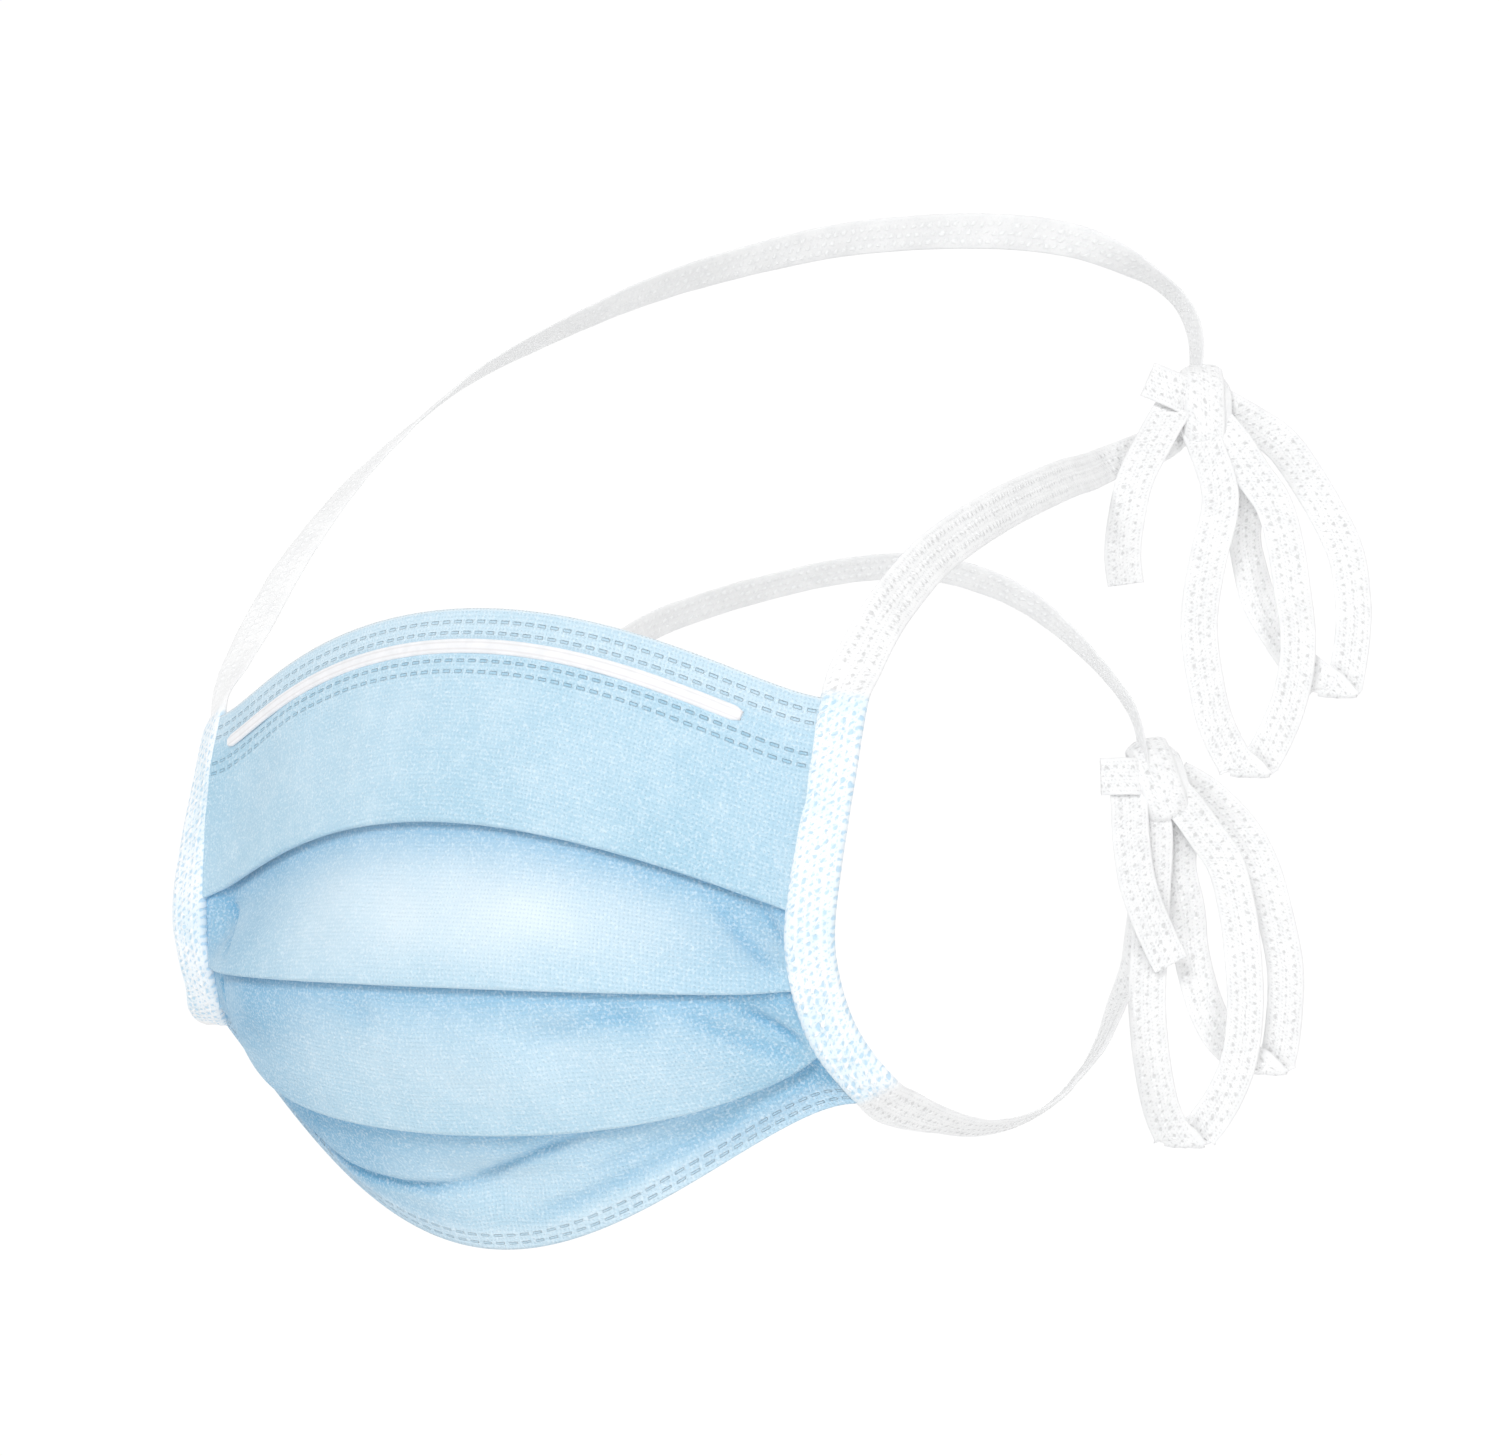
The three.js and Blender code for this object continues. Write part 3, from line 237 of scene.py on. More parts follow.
UPPER_TAIL = (
    (-0.03, 0.0, 0.45, -10, 8), (-0.06, 0.04, 0.62, -8, 6), (-0.1, 0.115, 0.75, -6, 2),
    (-0.148, 0.22, 0.8, -6, 0), (-0.17, 0.335, 0.75, -4, -2), (-0.175, 0.423, 0.65, 0, -4),
    (-0.164, 0.498, 0.5, 4, -6),
)
LOWER_FRONT_LEFT = (
    (0.015, 0.05, 0.1, 0, 0), (0.025, 0.15, 0.25, 0, 0), (0.025, 0.22, 0.33, 0, 0),
    (0.021, 0.323, 0.36, 0, 0), (0.018, 0.47, 0.4, 0, 0), (0.013, 0.57, 0.5, -3, 2),
    (0.016, 0.651, 0.55, 0, 2), (0.031, 0.773, 0.58, 3, 0), (0.057, 0.886, 0.55, 4, -4),
    (0.09, 0.955, 0.45, 0, -6),
)
LOWER_FRONT_RIGHT = (
    (0.184, 0.93, 0.05, 0, 6), (0.238, 0.84, 0.1, -6, 4), (0.271, 0.736, 0.22, -8, 2),
    (0.28, 0.6, 0.35, -4, 0), (0.268, 0.458, 0.4, 2, 0), (0.251, 0.348, 0.4, 4, 0),
    (0.218, 0.232, 0.36, 6, -4), (0.162, 0.152, 0.4, 4, -4), (0.107, 0.079, 0.36, 0, 0),
    (0.05, 0.02, 0.24, 0, 0),
)
LOWER_FRONT_FOLD = (0.126, 0.99, 0.25)
LOWER_BACK_LEFT = (
    (0.04, 0.03, -0.4, 0, 0), (0.092, 0.153, -0.4, -12, 0), (0.1, 0.252, -0.48, -14, 0),
    (0.126, 0.358, -0.55, -4, 0), (0.14, 0.465, -0.58, 6, 0), (0.173, 0.588, -0.56, 4, 0),
    (0.216, 0.679, -0.55, 0, 0), (0.276, 0.74, -0.55, 0, 0), (0.325, 0.772, -0.6, 0, -4),
)
LOWER_BACK_RIGHT = (
    (0.385, 0.748, -1.0, 0, 4), (0.397, 0.693, -1.0, -4, 4), (0.405, 0.577, -1.0, -4, 2),
    (0.399, 0.482, -0.95, 0, 0), (0.368, 0.358, -0.8, 4, -2), (0.326, 0.23, -0.65, 6, -4),
    (0.263, 0.129, -0.5, 6, -8), (0.172, 0.045, -0.4, 4, -6), (0.09, 0.0, -0.3, 0, 0),
)
LOWER_BACK_FOLD = (0.356, 0.79, -0.78)
LOWER_TAIL = (
    (-0.05, 0.02, 0.45, 0, 6), (-0.048, 0.078, 0.68, 0, 4), (-0.042, 0.18, 0.85, 0, 0),
    (-0.024, 0.288, 0.92, 0, 0), (0.009, 0.38, 0.95, 0, -2), (0.047, 0.459, 0.92, 4, -2),
    (0.073, 0.506, 0.85, 6, -2),
)

# Folded end at each knot: across, up, front, turn, tip.
UPPER_FLAP = ((0.0, 0.0, 0.2, 0, 0), (-0.2, 0.08, 0.46, -6, 4), (-0.55, 0.22, 0.42, -16, 6))
LOWER_FLAP = ((0.0, -0.02, 0.2, 0, 0), (-0.2, -0.02, 0.46, -6, 0), (-0.56, -0.04, 0.42, -16, 0))


def facing(turn, tip):
    """Unit vector that faces a way: turn from straight ahead (-Y) towards +X, tip upwards."""
    level = math.cos(math.radians(tip))
    return np.array([
        math.sin(math.radians(turn)) * level,
        -math.cos(math.radians(turn)) * level,
        math.sin(math.radians(tip)),
    ])


def unit(vectors):
    return vectors / np.maximum(np.linalg.norm(vectors, axis=-1, keepdims=True), 1e-9)


def smoothstep(x, low, high):
    u = np.clip((np.asarray(x, float) - low) / (high - low), 0, 1)
    return u * u * (3 - 2 * u)


def refine(rows, steps):
    """Smooth rows between the rows of an array."""
    rows = np.asarray(rows, float)
    last = len(rows) - 1
    fine = []
    for i in range(last):
        before, here, after, later = rows[max(i - 1, 0)], rows[i], rows[i + 1], rows[min(i + 2, last)]
        for u in np.arange(steps) / steps:
            fine.append(0.5 * (
                2 * here + (after - before) * u + (2 * before - 5 * here + 4 * after - later) * u ** 2
                + (3 * here - before - 3 * after + later) * u ** 3
            ))
    fine.append(rows[last])
    return np.array(fine)


def even(rows, step):
    """Rows at even distances along the path of their first three columns."""
    lengths = np.linalg.norm(np.diff(rows[:, :3], axis=0), axis=1)
    along = np.concatenate([[0], np.cumsum(lengths)])
    wanted = np.linspace(0, along[-1], max(int(along[-1] / step), 2))
    return np.stack([np.interp(wanted, along, column) for column in rows.T], axis=1), wanted


def blur(rows, reach):
    """Rows averaged with their neighbours, with both ends kept."""
    kernel = np.hanning(2 * reach + 3)[1:-1]
    kernel /= kernel.sum()
    padded = np.concatenate([np.repeat(rows[:1], reach, 0), rows, np.repeat(rows[-1:], reach, 0)])
    return np.stack([np.convolve(column, kernel, "valid") for column in padded.T], axis=1)


def ripple(x, y, length, seed):
    """Soft uneven waves of about one length, from -1 to 1."""
    rng = np.random.default_rng(seed)
    total = np.zeros(np.broadcast(x, y).shape)
    for _ in range(7):
        angle, phase = rng.uniform(0, math.tau), rng.uniform(0, math.tau)
        scale = rng.uniform(0.6, 1.7)
        turned = x * math.cos(angle) + y * math.sin(angle)
        total = total + np.sin(turned * math.tau * scale / length + phase)
    return total / 4


def both_faces(values):
    """Values across a strip's front, and back again across its back."""
    return np.concatenate([values, values[:, ::-1]], axis=1)


def triples(first, second, third):
    """Three values a point, in rows for a mesh attribute."""
    return np.stack([first, second, third], axis=-1).reshape(-1, 3)


def end_caps(size):
    """Faces that close the end of a flat strip."""
    return [(i, i + 1, size - 2 - i, size - 1 - i) for i in range(size // 2 - 1)]


def rounded(share, edge):
    """Share of the thickness left at each place across a strip."""
    profile = (1 - np.abs(share) ** 6) ** 0.5
    profile[[0, -1]] = edge
    return profile


def make_piece(name, rings, endless, caps, attributes, material, nodes):
    """A mesh through rings of points, in millimetres, that stands for CAD nodes."""
    count, size = rings.shape[:2]
    points = rings.reshape(-1, 3) * METRE
    faces = []
    for i in range(count if endless else count - 1):
        here, after = i * size, ((i + 1) % count) * size
        faces += [(here + j, here + (j + 1) % size, after + (j + 1) % size, after + j) for j in range(size)]
    for cap in caps:
        faces.append(tuple(cap))
        faces.append(tuple((count - 1) * size + j for j in reversed(cap)))
    volume = 0
    for face in faces:
        if len(face) == 4:
            volume += np.dot(points[face[0]], np.cross(points[face[1]], points[face[2]]))
            volume += np.dot(points[face[0]], np.cross(points[face[2]], points[face[3]]))
    if volume < 0:
        faces = [tuple(reversed(face)) for face in faces]
    mesh = bpy.data.meshes.new(name)
    mesh.from_pydata(points.tolist(), [], faces)
    mesh.update()
    for key, values in attributes.items():
        layer = mesh.attributes.new(key, "FLOAT_VECTOR", "POINT")
        layer.data.foreach_set("vector", np.ascontiguousarray(values, dtype=np.float32).ravel())
    mesh.polygons.foreach_set("use_smooth", [True] * len(faces))
    mesh.materials.append(material)
    piece = bpy.data.objects.new(name, mesh)
    bpy.context.scene.collection.objects.link(piece)
    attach(piece, "root")
    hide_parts(*nodes)
    return piece


# Materials

def new_material(name):
    material = bpy.data.materials.new(name)
    material.use_nodes = True
    tree = material.node_tree
    return material, tree, tree.nodes["Principled BSDF"]


def add_node(tree, kind, inputs=(), **settings):
    node = tree.nodes.new(kind)
    for key, value in settings.items():
        setattr(node, key, value)
    for key, value in dict(inputs).items():
        if isinstance(value, bpy.types.NodeSocket):
            tree.links.new(value, node.inputs[key])
        else:
            node.inputs[key].default_value = value
    return node


def calc(tree, operation, *values):
    return add_node(tree, "ShaderNodeMath", dict(enumerate(values)), operation=operation).outputs[0]


def blend_colour(tree, share, low, high):
    node = add_node(tree, "ShaderNodeMix", {0: share}, data_type="RGBA")
    for key, value in ((6, low), (7, high)):
        if isinstance(value, bpy.types.NodeSocket):
            tree.links.new(value, node.inputs[key])
        else:
            node.inputs[key].default_value = (*value, 1)
    return node.outputs[2]


def attribute(tree, name):
    return add_node(tree, "ShaderNodeAttribute", attribute_name=name).outputs["Vector"]


def parts_of(tree, vector):
    return add_node(tree, "ShaderNodeSeparateXYZ", {0: vector}).outputs


def noise(tree, vector, scale, detail, rough):
    return add_node(tree, "ShaderNodeTexNoise", {
        "Vector": vector, "Scale": scale, "Detail": detail, "Roughness": rough,
    }).outputs[0]


def ramp(tree, value, low, high):
    inputs = {0: value, 1: low, 2: high}
    return add_node(tree, "ShaderNodeMapRange", inputs, interpolation_type="SMOOTHSTEP").outputs[0]


def dash_row(tree, along, distance, place, half, pitch, share):
    """One in the dashes of a row at a distance from an edge, and nought elsewhere."""
    off = calc(tree, "ABSOLUTE", calc(tree, "SUBTRACT", distance, place))
    band = ramp(tree, off, half * 1.4, half * 0.6)
    phase = calc(tree, "FRACT", calc(tree, "DIVIDE", along, pitch))
    middle = calc(tree, "ABSOLUTE", calc(tree, "SUBTRACT", phase, 0.5))
    return calc(tree, "MULTIPLY", band, ramp(tree, middle, share / 2 + 0.05, share / 2 - 0.05))


def bump(tree, height, distance, strength):
    inputs = {"Height": height, "Distance": distance, "Strength": strength}
    return add_node(tree, "ShaderNodeBump", inputs).outputs[0]


def dot_mask(tree, strip, gap, pitch, rows, radius, ahead=0.0, beside=0.0):
    """One on the slanting dots of rows along a strip and nought between them."""
    along, across, wear_and_shade = strip
    row = calc(tree, "ROUND", calc(tree, "DIVIDE", across, gap))
    row = calc(tree, "MAXIMUM", calc(tree, "MINIMUM", row, rows), -rows)
    aside = calc(tree, "SUBTRACT", calc(tree, "SUBTRACT", across, calc(tree, "MULTIPLY", row, gap)), beside)
    shift = calc(tree, "SUBTRACT", calc(tree, "MULTIPLY", row, pitch * DOT_SLANT), ahead)
    step = calc(tree, "FRACT", calc(tree, "DIVIDE", calc(tree, "ADD", along, shift), pitch))
    front = calc(tree, "MULTIPLY", calc(tree, "SUBTRACT", step, 0.5), pitch)
    lean = calc(tree, "SUBTRACT", front, calc(tree, "MULTIPLY", aside, 0.5))
    squares = calc(tree, "ADD", calc(tree, "MULTIPLY", aside, aside), calc(tree, "MULTIPLY", lean, lean))
    worn = calc(tree, "MULTIPLY", calc(tree, "SUBTRACT", wear_and_shade, 0.5), radius * 2.4)
    return ramp(tree, calc(tree, "ADD", calc(tree, "SQRT", squares), worn), radius * 1.2, radius * 0.4)


def cloth_material():
    """Pale blue non-woven cloth outside, white inside, with pressed weld dashes along its hems, and with
    painted light and painted shade mixed into its colour.
    """
    material, tree, shader = new_material("cloth")
    along, down, inside = parts_of(tree, attribute(tree, "grain"))
    top, bottom, deep = parts_of(tree, attribute(tree, "hem"))
    place = add_node(tree, "ShaderNodeTexCoord").outputs["Object"]
    fibres = noise(tree, place, 1700.0, 3.0, 0.65)
    mottle = noise(tree, place, 160.0, 3.0, 0.6)
    clouds = noise(tree, place, 24.0, 2.0, 0.5)
    slant = calc(tree, "SINE", calc(tree, "MULTIPLY", calc(tree, "ADD", along, down), BOND_TURN))
    counter = calc(tree, "SINE", calc(tree, "MULTIPLY", calc(tree, "SUBTRACT", along, down), BOND_TURN))
    bonds = ramp(tree, calc(tree, "MULTIPLY", slant, counter), 0.35, 0.9)
    dashes = None
    for distance, welds in ((top, TOP_WELDS), (bottom, BOTTOM_WELDS)):
        for weld, half in welds:
            row = dash_row(tree, along, distance, weld, half, DASH_PITCH, DASH_SHARE)
            dashes = row if dashes is None else calc(tree, "MAXIMUM", dashes, row)
    # Painted light and painted shade: paler where light falls on the middle of the panels, deeper blue
    # towards their sides and along creases.
    painted_light_share, painted_shade_share, _ = parts_of(tree, attribute(tree, "light_and_shade"))
    light = blend_colour(tree, ramp(tree, clouds, 0.3, 0.7), (0.38, 0.60, 0.74), (0.45, 0.65, 0.78))
    painted_lit_colour = blend_colour(tree, painted_light_share, light, (0.76, 0.86, 0.92))
    mottling = calc(tree, "MULTIPLY", ramp(tree, mottle, 0.4, 0.8), 0.35)
    worn = blend_colour(tree, mottling, painted_lit_colour, (0.64, 0.79, 0.88))
    darker = blend_colour(tree, painted_shade_share, worn, (0.11, 0.36, 0.58))
    # Deeper blue painted shade just below each lip, from the third part of the hem attribute.
    shaded = blend_colour(tree, calc(tree, "MULTIPLY", deep, 0.75), darker, (0.13, 0.40, 0.66))
    specks = calc(tree, "MULTIPLY", ramp(tree, fibres, 0.45, 0.7), 0.5)
    speckled = blend_colour(tree, specks, shaded, (0.78, 0.88, 0.95))
    bonded = blend_colour(tree, calc(tree, "MULTIPLY", bonds, 0.1), speckled, (0.25, 0.53, 0.75))
    pressed = blend_colour(tree, calc(tree, "MULTIPLY", dashes, 0.4), bonded, (0.17, 0.42, 0.6))
    hemmed = calc(tree, "MAXIMUM", ramp(tree, top, 8.0, 5.0), ramp(tree, bottom, 6.0, 3.5))
    hem_pale = blend_colour(tree, calc(tree, "MULTIPLY", hemmed, 0.28), pressed, (0.80, 0.88, 0.93))
    edge_line = ramp(tree, top, 0.7, 0.2)
    edged = blend_colour(tree, calc(tree, "MULTIPLY", edge_line, 0.6), hem_pale, (0.85, 0.93, 0.97))
    lining = blend_colour(tree, ramp(tree, mottle, 0.3, 0.7), (0.85, 0.88, 0.90), (0.90, 0.925, 0.94))
    colour = blend_colour(tree, inside, edged, lining)
    tree.links.new(colour, shader.inputs["Base Color"])
    shader.inputs["Roughness"].default_value = 0.85
    shader.inputs["Specular IOR Level"].default_value = 0.25
    shader.inputs["Sheen Weight"].default_value = 0.25
    shader.inputs["Sheen Roughness"].default_value = 0.6
    rough_height = calc(tree, "ADD", calc(tree, "MULTIPLY", fibres, 0.5), calc(tree, "MULTIPLY", mottle, 0.6))
    pressed_height = calc(tree, "SUBTRACT", rough_height, calc(tree, "MULTIPLY", dashes, 1.4))
    full_height = calc(tree, "SUBTRACT", pressed_height, calc(tree, "MULTIPLY", bonds, 0.35))
    tree.links.new(bump(tree, full_height, 0.0003, 0.9), shader.inputs["Normal"])
    return material


def tape_material():
    """White embossed non-woven tape, bluish where it lies over the cloth, with painted shade in its hollows
    and pinholes and a painted highlight beside each hollow.
    """
    material, tree, shader = new_material("tape")
    along, across, tint = parts_of(tree, attribute(tree, "grain"))
    strength = parts_of(tree, attribute(tree, "wear_and_shade"))[0]
    place = add_node(tree, "ShaderNodeTexCoord").outputs["Object"]
    fibres = noise(tree, place, 1800.0, 3.0, 0.65)
    mottle = noise(tree, place, 420.0, 3.0, 0.6)
    soft = noise(tree, place, 90.0, 2.0, 0.5)
    drift = calc(tree, "MULTIPLY", calc(tree, "SUBTRACT", noise(tree, place, 560.0, 2.0, 0.5), 0.5), 1.6)
    sway = calc(tree, "MULTIPLY", calc(tree, "SUBTRACT", noise(tree, place, 610.0, 2.0, 0.5), 0.5), 1.3)
    strip = (calc(tree, "ADD", along, drift), calc(tree, "ADD", across, sway), mottle)
    # Hollows and pinholes get painted shade as well as a pressed bump; the per-dot strength scales that
    # painted shade.
    hollow = dot_mask(tree, strip, DOT_GAP, DOT_PITCH, 1, 0.45)
    raised = dot_mask(tree, strip, DOT_GAP, DOT_PITCH, 1, 0.65, 0.6, 0.35)
    pins = dot_mask(tree, strip, PIN_PITCH, PIN_PITCH, 4, 0.22)
    specks = dot_mask(tree, strip, SPECK_GAP, SPECK_PITCH, 3, 0.45)
    blended = calc(tree, "ADD", calc(tree, "MULTIPLY", hollow, calc(tree, "SUBTRACT", 1.0, tint)),
                   calc(tree, "MULTIPLY", specks, tint))
    marks = calc(tree, "MAXIMUM", calc(tree, "MULTIPLY", blended, 0.48), calc(tree, "MULTIPLY", pins, 0.25))
    marks = calc(tree, "MULTIPLY", marks, strength)
    white = blend_colour(tree, ramp(tree, soft, 0.3, 0.7), (0.865, 0.867, 0.869), (0.91, 0.912, 0.914))
    pale = blend_colour(tree, ramp(tree, soft, 0.35, 0.65), (0.76, 0.86, 0.92), (0.89, 0.93, 0.96))
    base = blend_colour(tree, tint, white, pale)
    mottling = calc(tree, "MULTIPLY", ramp(tree, mottle, 0.6, 0.35), 0.14)
    fibred = blend_colour(tree, mottling, base, (0.68, 0.7, 0.73))
    # Painted highlight on the raised spot beside each hollow, which is also bumped.
    lit = blend_colour(tree, calc(tree, "MULTIPLY", raised, 0.7), fibred, (0.985, 0.99, 0.995))
    # Grey painted shade on the white tape, blue dots where the tape lies over the cloth.
    mark = blend_colour(tree, tint, (0.46, 0.46, 0.46), (0.22, 0.55, 0.80))
    tree.links.new(blend_colour(tree, marks, lit, mark), shader.inputs["Base Color"])
    shader.inputs["Roughness"].default_value = 0.8
    shader.inputs["Specular IOR Level"].default_value = 0.3
    shader.inputs["Sheen Weight"].default_value = 0.15
    height = calc(tree, "ADD", calc(tree, "MULTIPLY", fibres, 0.35), calc(tree, "MULTIPLY", mottle, 0.45))
    height = calc(tree, "SUBTRACT", height, calc(tree, "MULTIPLY", marks, 0.9))
    height = calc(tree, "ADD", height, calc(tree, "MULTIPLY", raised, 0.6))
    tree.links.new(bump(tree, height, 0.00028, 0.8), shader.inputs["Normal"])
    return material


def wire_material():
    """White strip with painted shade, in a faint warm tint, along two fine ridge lines."""
    material, tree, shader = new_material("nose_strip")
    across = parts_of(tree, attribute(tree, "grain"))[1]
    place = add_node(tree, "ShaderNodeTexCoord").outputs["Object"]
    mottle = noise(tree, place, 300.0, 3.0, 0.6)
    off_ridge = calc(tree, "ABSOLUTE", calc(tree, "SUBTRACT", calc(tree, "ABSOLUTE", across), 0.7))
    # Painted shade along the two ridge lines, which have no relief of their own.
    ridge_shade = ramp(tree, off_ridge, 0.3, 0.05)
    base = blend_colour(tree, ramp(tree, mottle, 0.3, 0.7), (0.79, 0.80, 0.82), (0.86, 0.86, 0.88))
    lined = blend_colour(tree, calc(tree, "MULTIPLY", ridge_shade, 0.35), base, (0.60, 0.57, 0.57))
    tree.links.new(lined, shader.inputs["Base Color"])
    shader.inputs["Roughness"].default_value = 0.5
    tree.links.new(bump(tree, mottle, 0.0001, 0.5), shader.inputs["Normal"])
    return material


# Cloth panel

def edge_point(edge, t):
    reach, side_back, middle_back, wrap, curl, side_fall = edge[:6]
    middle_fall, sway, tuck, lean, swing_back, swing_fall = edge[6:]
    wrap = math.radians(wrap)
    bow = (1 - np.cos(wrap * t)) / (1 - math.cos(wrap))
    back = middle_back + (side_back - middle_back) * ((1 - curl) * bow + curl * t ** 6)
    sag = (1 - sway - tuck) * t * t + sway * (1 - np.cos(math.pi * t)) / 2 + tuck * t ** 6
    fall = middle_fall + (side_fall - middle_fall) * sag + lean * np.sign(t) * t ** 4
    swing = np.sin(math.pi * t)
    return np.stack([
        HALF_CHORD * reach * np.sin(wrap * t) / math.sin(wrap),
        CHEEK_DEPTH * (back - swing_back * swing),
        -MASK_DROP * (fall + swing_fall * swing),
    ], axis=-1)


def across_at(edge, t):
    return unit(edge_point(edge, np.minimum(t + 0.01, 1)) - edge_point(edge, np.maximum(t - 0.01, -1)))


def hermite(start, leave, end, arrive, height, u):
    return (
        start * (2 * u ** 3 - 3 * u ** 2 + 1) + leave * height * (u ** 3 - 2 * u ** 2 + u)
        + end * (3 * u ** 2 - 2 * u ** 3) + arrive * height * (u ** 3 - u ** 2)
    )


def dent_depth(panel, t, u, height):
    depth = np.zeros_like(t)
    for at_panel, across, down, wide, high, deep in DENTS:
        if at_panel == panel:
            aside = (t - across) * HALF_CHORD / wide
            below = (u - down) * height / high
            depth += deep * np.exp(-2 * (aside ** 2 + below ** 2)) * 4 * u * (1 - u)
    return depth


def crease_depth(panel, t, u, height):
    """Narrow folds between two places of a panel, fading towards their ends."""
    depth = np.zeros_like(t)
    for at_panel, t_from, u_from, t_to, u_to, wide, deep in CREASES:
        if at_panel == panel:
            from_x, from_y = t_from * HALF_CHORD, u_from * height
            line_x, line_y = (t_to - t_from) * HALF_CHORD, (u_to - u_from) * height
            x, y = t * HALF_CHORD - from_x, u * height - from_y
            length = np.hypot(line_x, line_y)
            share = (x * line_x + y * line_y) / length ** 2
            off = (x * line_y - y * line_x) / length
            fade = smoothstep(share, -0.1, 0.3) * (1 - smoothstep(share, 0.7, 1.1))
            depth += deep * np.exp(-(off / wide) ** 2) * fade * np.minimum(6 * u * (1 - u), 1)
    return depth


def fold_rows(end, arrive, face, pitch, depth):
    """Rows of the two hidden layers behind a panel's lip: point and the way that it faces."""
    rows = []
    for middle, sense in ((0.5, 1), (1.5, -1)):
        centre = end - face * middle * pitch - (0 if sense > 0 else 1) * arrive * depth
        for step in range(1 if sense > 0 else 0, TURN_STEPS + 1):
            angle = math.pi * step / TURN_STEPS
            spoke = face * math.cos(angle) + arrive * sense * math.sin(angle)
            rows.append((centre + spoke * pitch / 2, spoke * sense))
        for row in range(1, HIDDEN_ROWS + 1):
            share = row / (HIDDEN_ROWS + 1)
            rise = depth * (share if sense > 0 else 1 - share)
            rows.append((end - face * (middle + 0.5) * pitch - arrive * rise, -face * sense))
    return rows


def cloth_lines(t):
    """Points down the cloth at each station, the way that they face, and what the material needs to know."""
    pitch = LAYER_PITCH + (SIDE_PITCH - LAYER_PITCH) * smoothstep(np.abs(t), 0.86, 0.99)
    pitch = pitch[:, None]
    tuck = TUCK_MIDDLE + (TUCK_SIDE - TUCK_MIDDLE) * np.abs(t) ** 1.6
    start, start_way = edge_point(EDGES[0], t), None
    points, faces, panels, shares, creases = [], [], [], [], []
    for panel in range(4):
        end = edge_point(EDGES[panel + 1], t)
        across = unit(across_at(EDGES[panel], t) + across_at(EDGES[panel + 1], t))
        chord = end - start
        height = np.linalg.norm(chord, axis=1)
        flat = chord / height[:, None]
        normal = unit(np.cross(flat, across))
        leave = unit(flat + normal * PANEL_BULGE[panel]) if start_way is None else start_way
        arrive = unit(flat - normal * PANEL_BULGE[panel])
        curve = (start, leave, end, arrive, height[:, None])

        def panel_at(u):
            ahead = np.minimum(u + 0.02, 1)
            way = unit(hermite(*curve, ahead) - hermite(*curve, ahead - 0.04))
            face = unit(np.cross(way, across))
            deep = dent_depth(panel, t, u[:, 0], height) + crease_depth(panel, t, u[:, 0], height)
            return hermite(*curve, u) - face * deep[:, None], face

        rows = PANEL_ROWS[panel]
        for row in range(0 if panel == 0 else 1, rows + 1):
            point, face = panel_at(np.full((len(t), 1), row / rows))
            points.append(point)
            faces.append(face)
            panels.append(panel)
            shares.append(row / rows)
            creases.append(crease_depth(panel, t, np.full(len(t), row / rows), height))
        if panel < 3:
            face = unit(np.cross(arrive, across))
            room = 0.8 * np.linalg.norm(edge_point(EDGES[panel + 2], t) - end, axis=1) + 1
            depth = np.minimum(tuck, room)[:, None]
            for point, way in fold_rows(end, arrive, face, pitch, depth):
                rise = np.maximum(np.sum((end - point) * arrive, axis=1), 0)
                cover, _ = panel_at((1 - rise / height)[:, None])
                lift = np.sum((cover - end) * face, axis=1)
                points.append(point + face * lift[:, None])
                faces.append(way)
                panels.append(panel)
                shares.append(1.0)
                creases.append(np.zeros(len(t)))
            start, start_way = end - face * 2 * pitch, arrive
    places = np.array(panels), np.array(shares)
    return np.stack(points, 1), np.stack(faces, 1), *places, np.stack(creases, 1)


def side_rows(side, steps):
    """Rows down one side edge: point, way outwards and face."""
    rows = []
    for i, edge in enumerate(EDGES):
        point = edge_point(edge, np.array([float(side)]))[0]
        rows.append([*point, BINDING_TURN[side][i], BINDING_SET if 0 < i < 4 else 0.1])
    rows = refine(rows, steps)
    down = unit(np.gradient(rows[:, :3], axis=0))
    turn = np.radians(rows[:, 3])
    out = side * np.stack([np.cos(turn), np.sin(turn), 0 * turn], axis=1)
    out = unit(out - down * np.sum(out * down, axis=1, keepdims=True))
    face = unit(np.cross(down, out * side))
    return rows[:, :3] - face * rows[:, 4:5], out, face, down


def side_tabs(points):
    """How far the cloth reaches on inside the binding at both ends of its rows."""
    tabs = []
    for side, at in ((-1, 0), (1, -1)):
        places, outs, _, _ = side_rows(side, 12)
        nearest = np.argmin(np.linalg.norm(points[at][:, None] - places[None], axis=2), axis=1)
        tabs.append(outs[nearest] * SIDE_TAB)
    return tabs


def cloth_painted_light_shade(far, shares, panels, along, top, creases):
    """Share of the pale and of the deep colour at each point of the cloth: painted light at the middle of
    each panel, painted shade towards its sides and along its creases.
    """
    share = shares[None, :]
    glow = np.array(PANEL_PAINTED_LIGHT)[panels][None, :]
    pale = glow * np.exp(-((far - 0.2) / 0.55) ** 2) * np.exp(-((share - 0.5) / 0.42) ** 2)
    pale = np.clip(pale * (0.9 + 0.16 * ripple(along, top, 22, 31)), 0, 1)
    shade = np.array(PANEL_PAINTED_SHADE)[panels][None, :]
    reach = np.array(PAINTED_SHADE_REACH)[panels][None, :]
    # Painted shade: deeper towards the far side, half as deep towards the near edge, and along the creases.
    deep = shade * (smoothstep(-far - reach, 0, 0.6) + 0.5 * smoothstep(far, 0.5, 0.95))
    deep = np.clip(deep * (1 + 0.3 * ripple(along, top, 26, 37)) + 0.45 * creases, 0, 1)
    return pale, deep


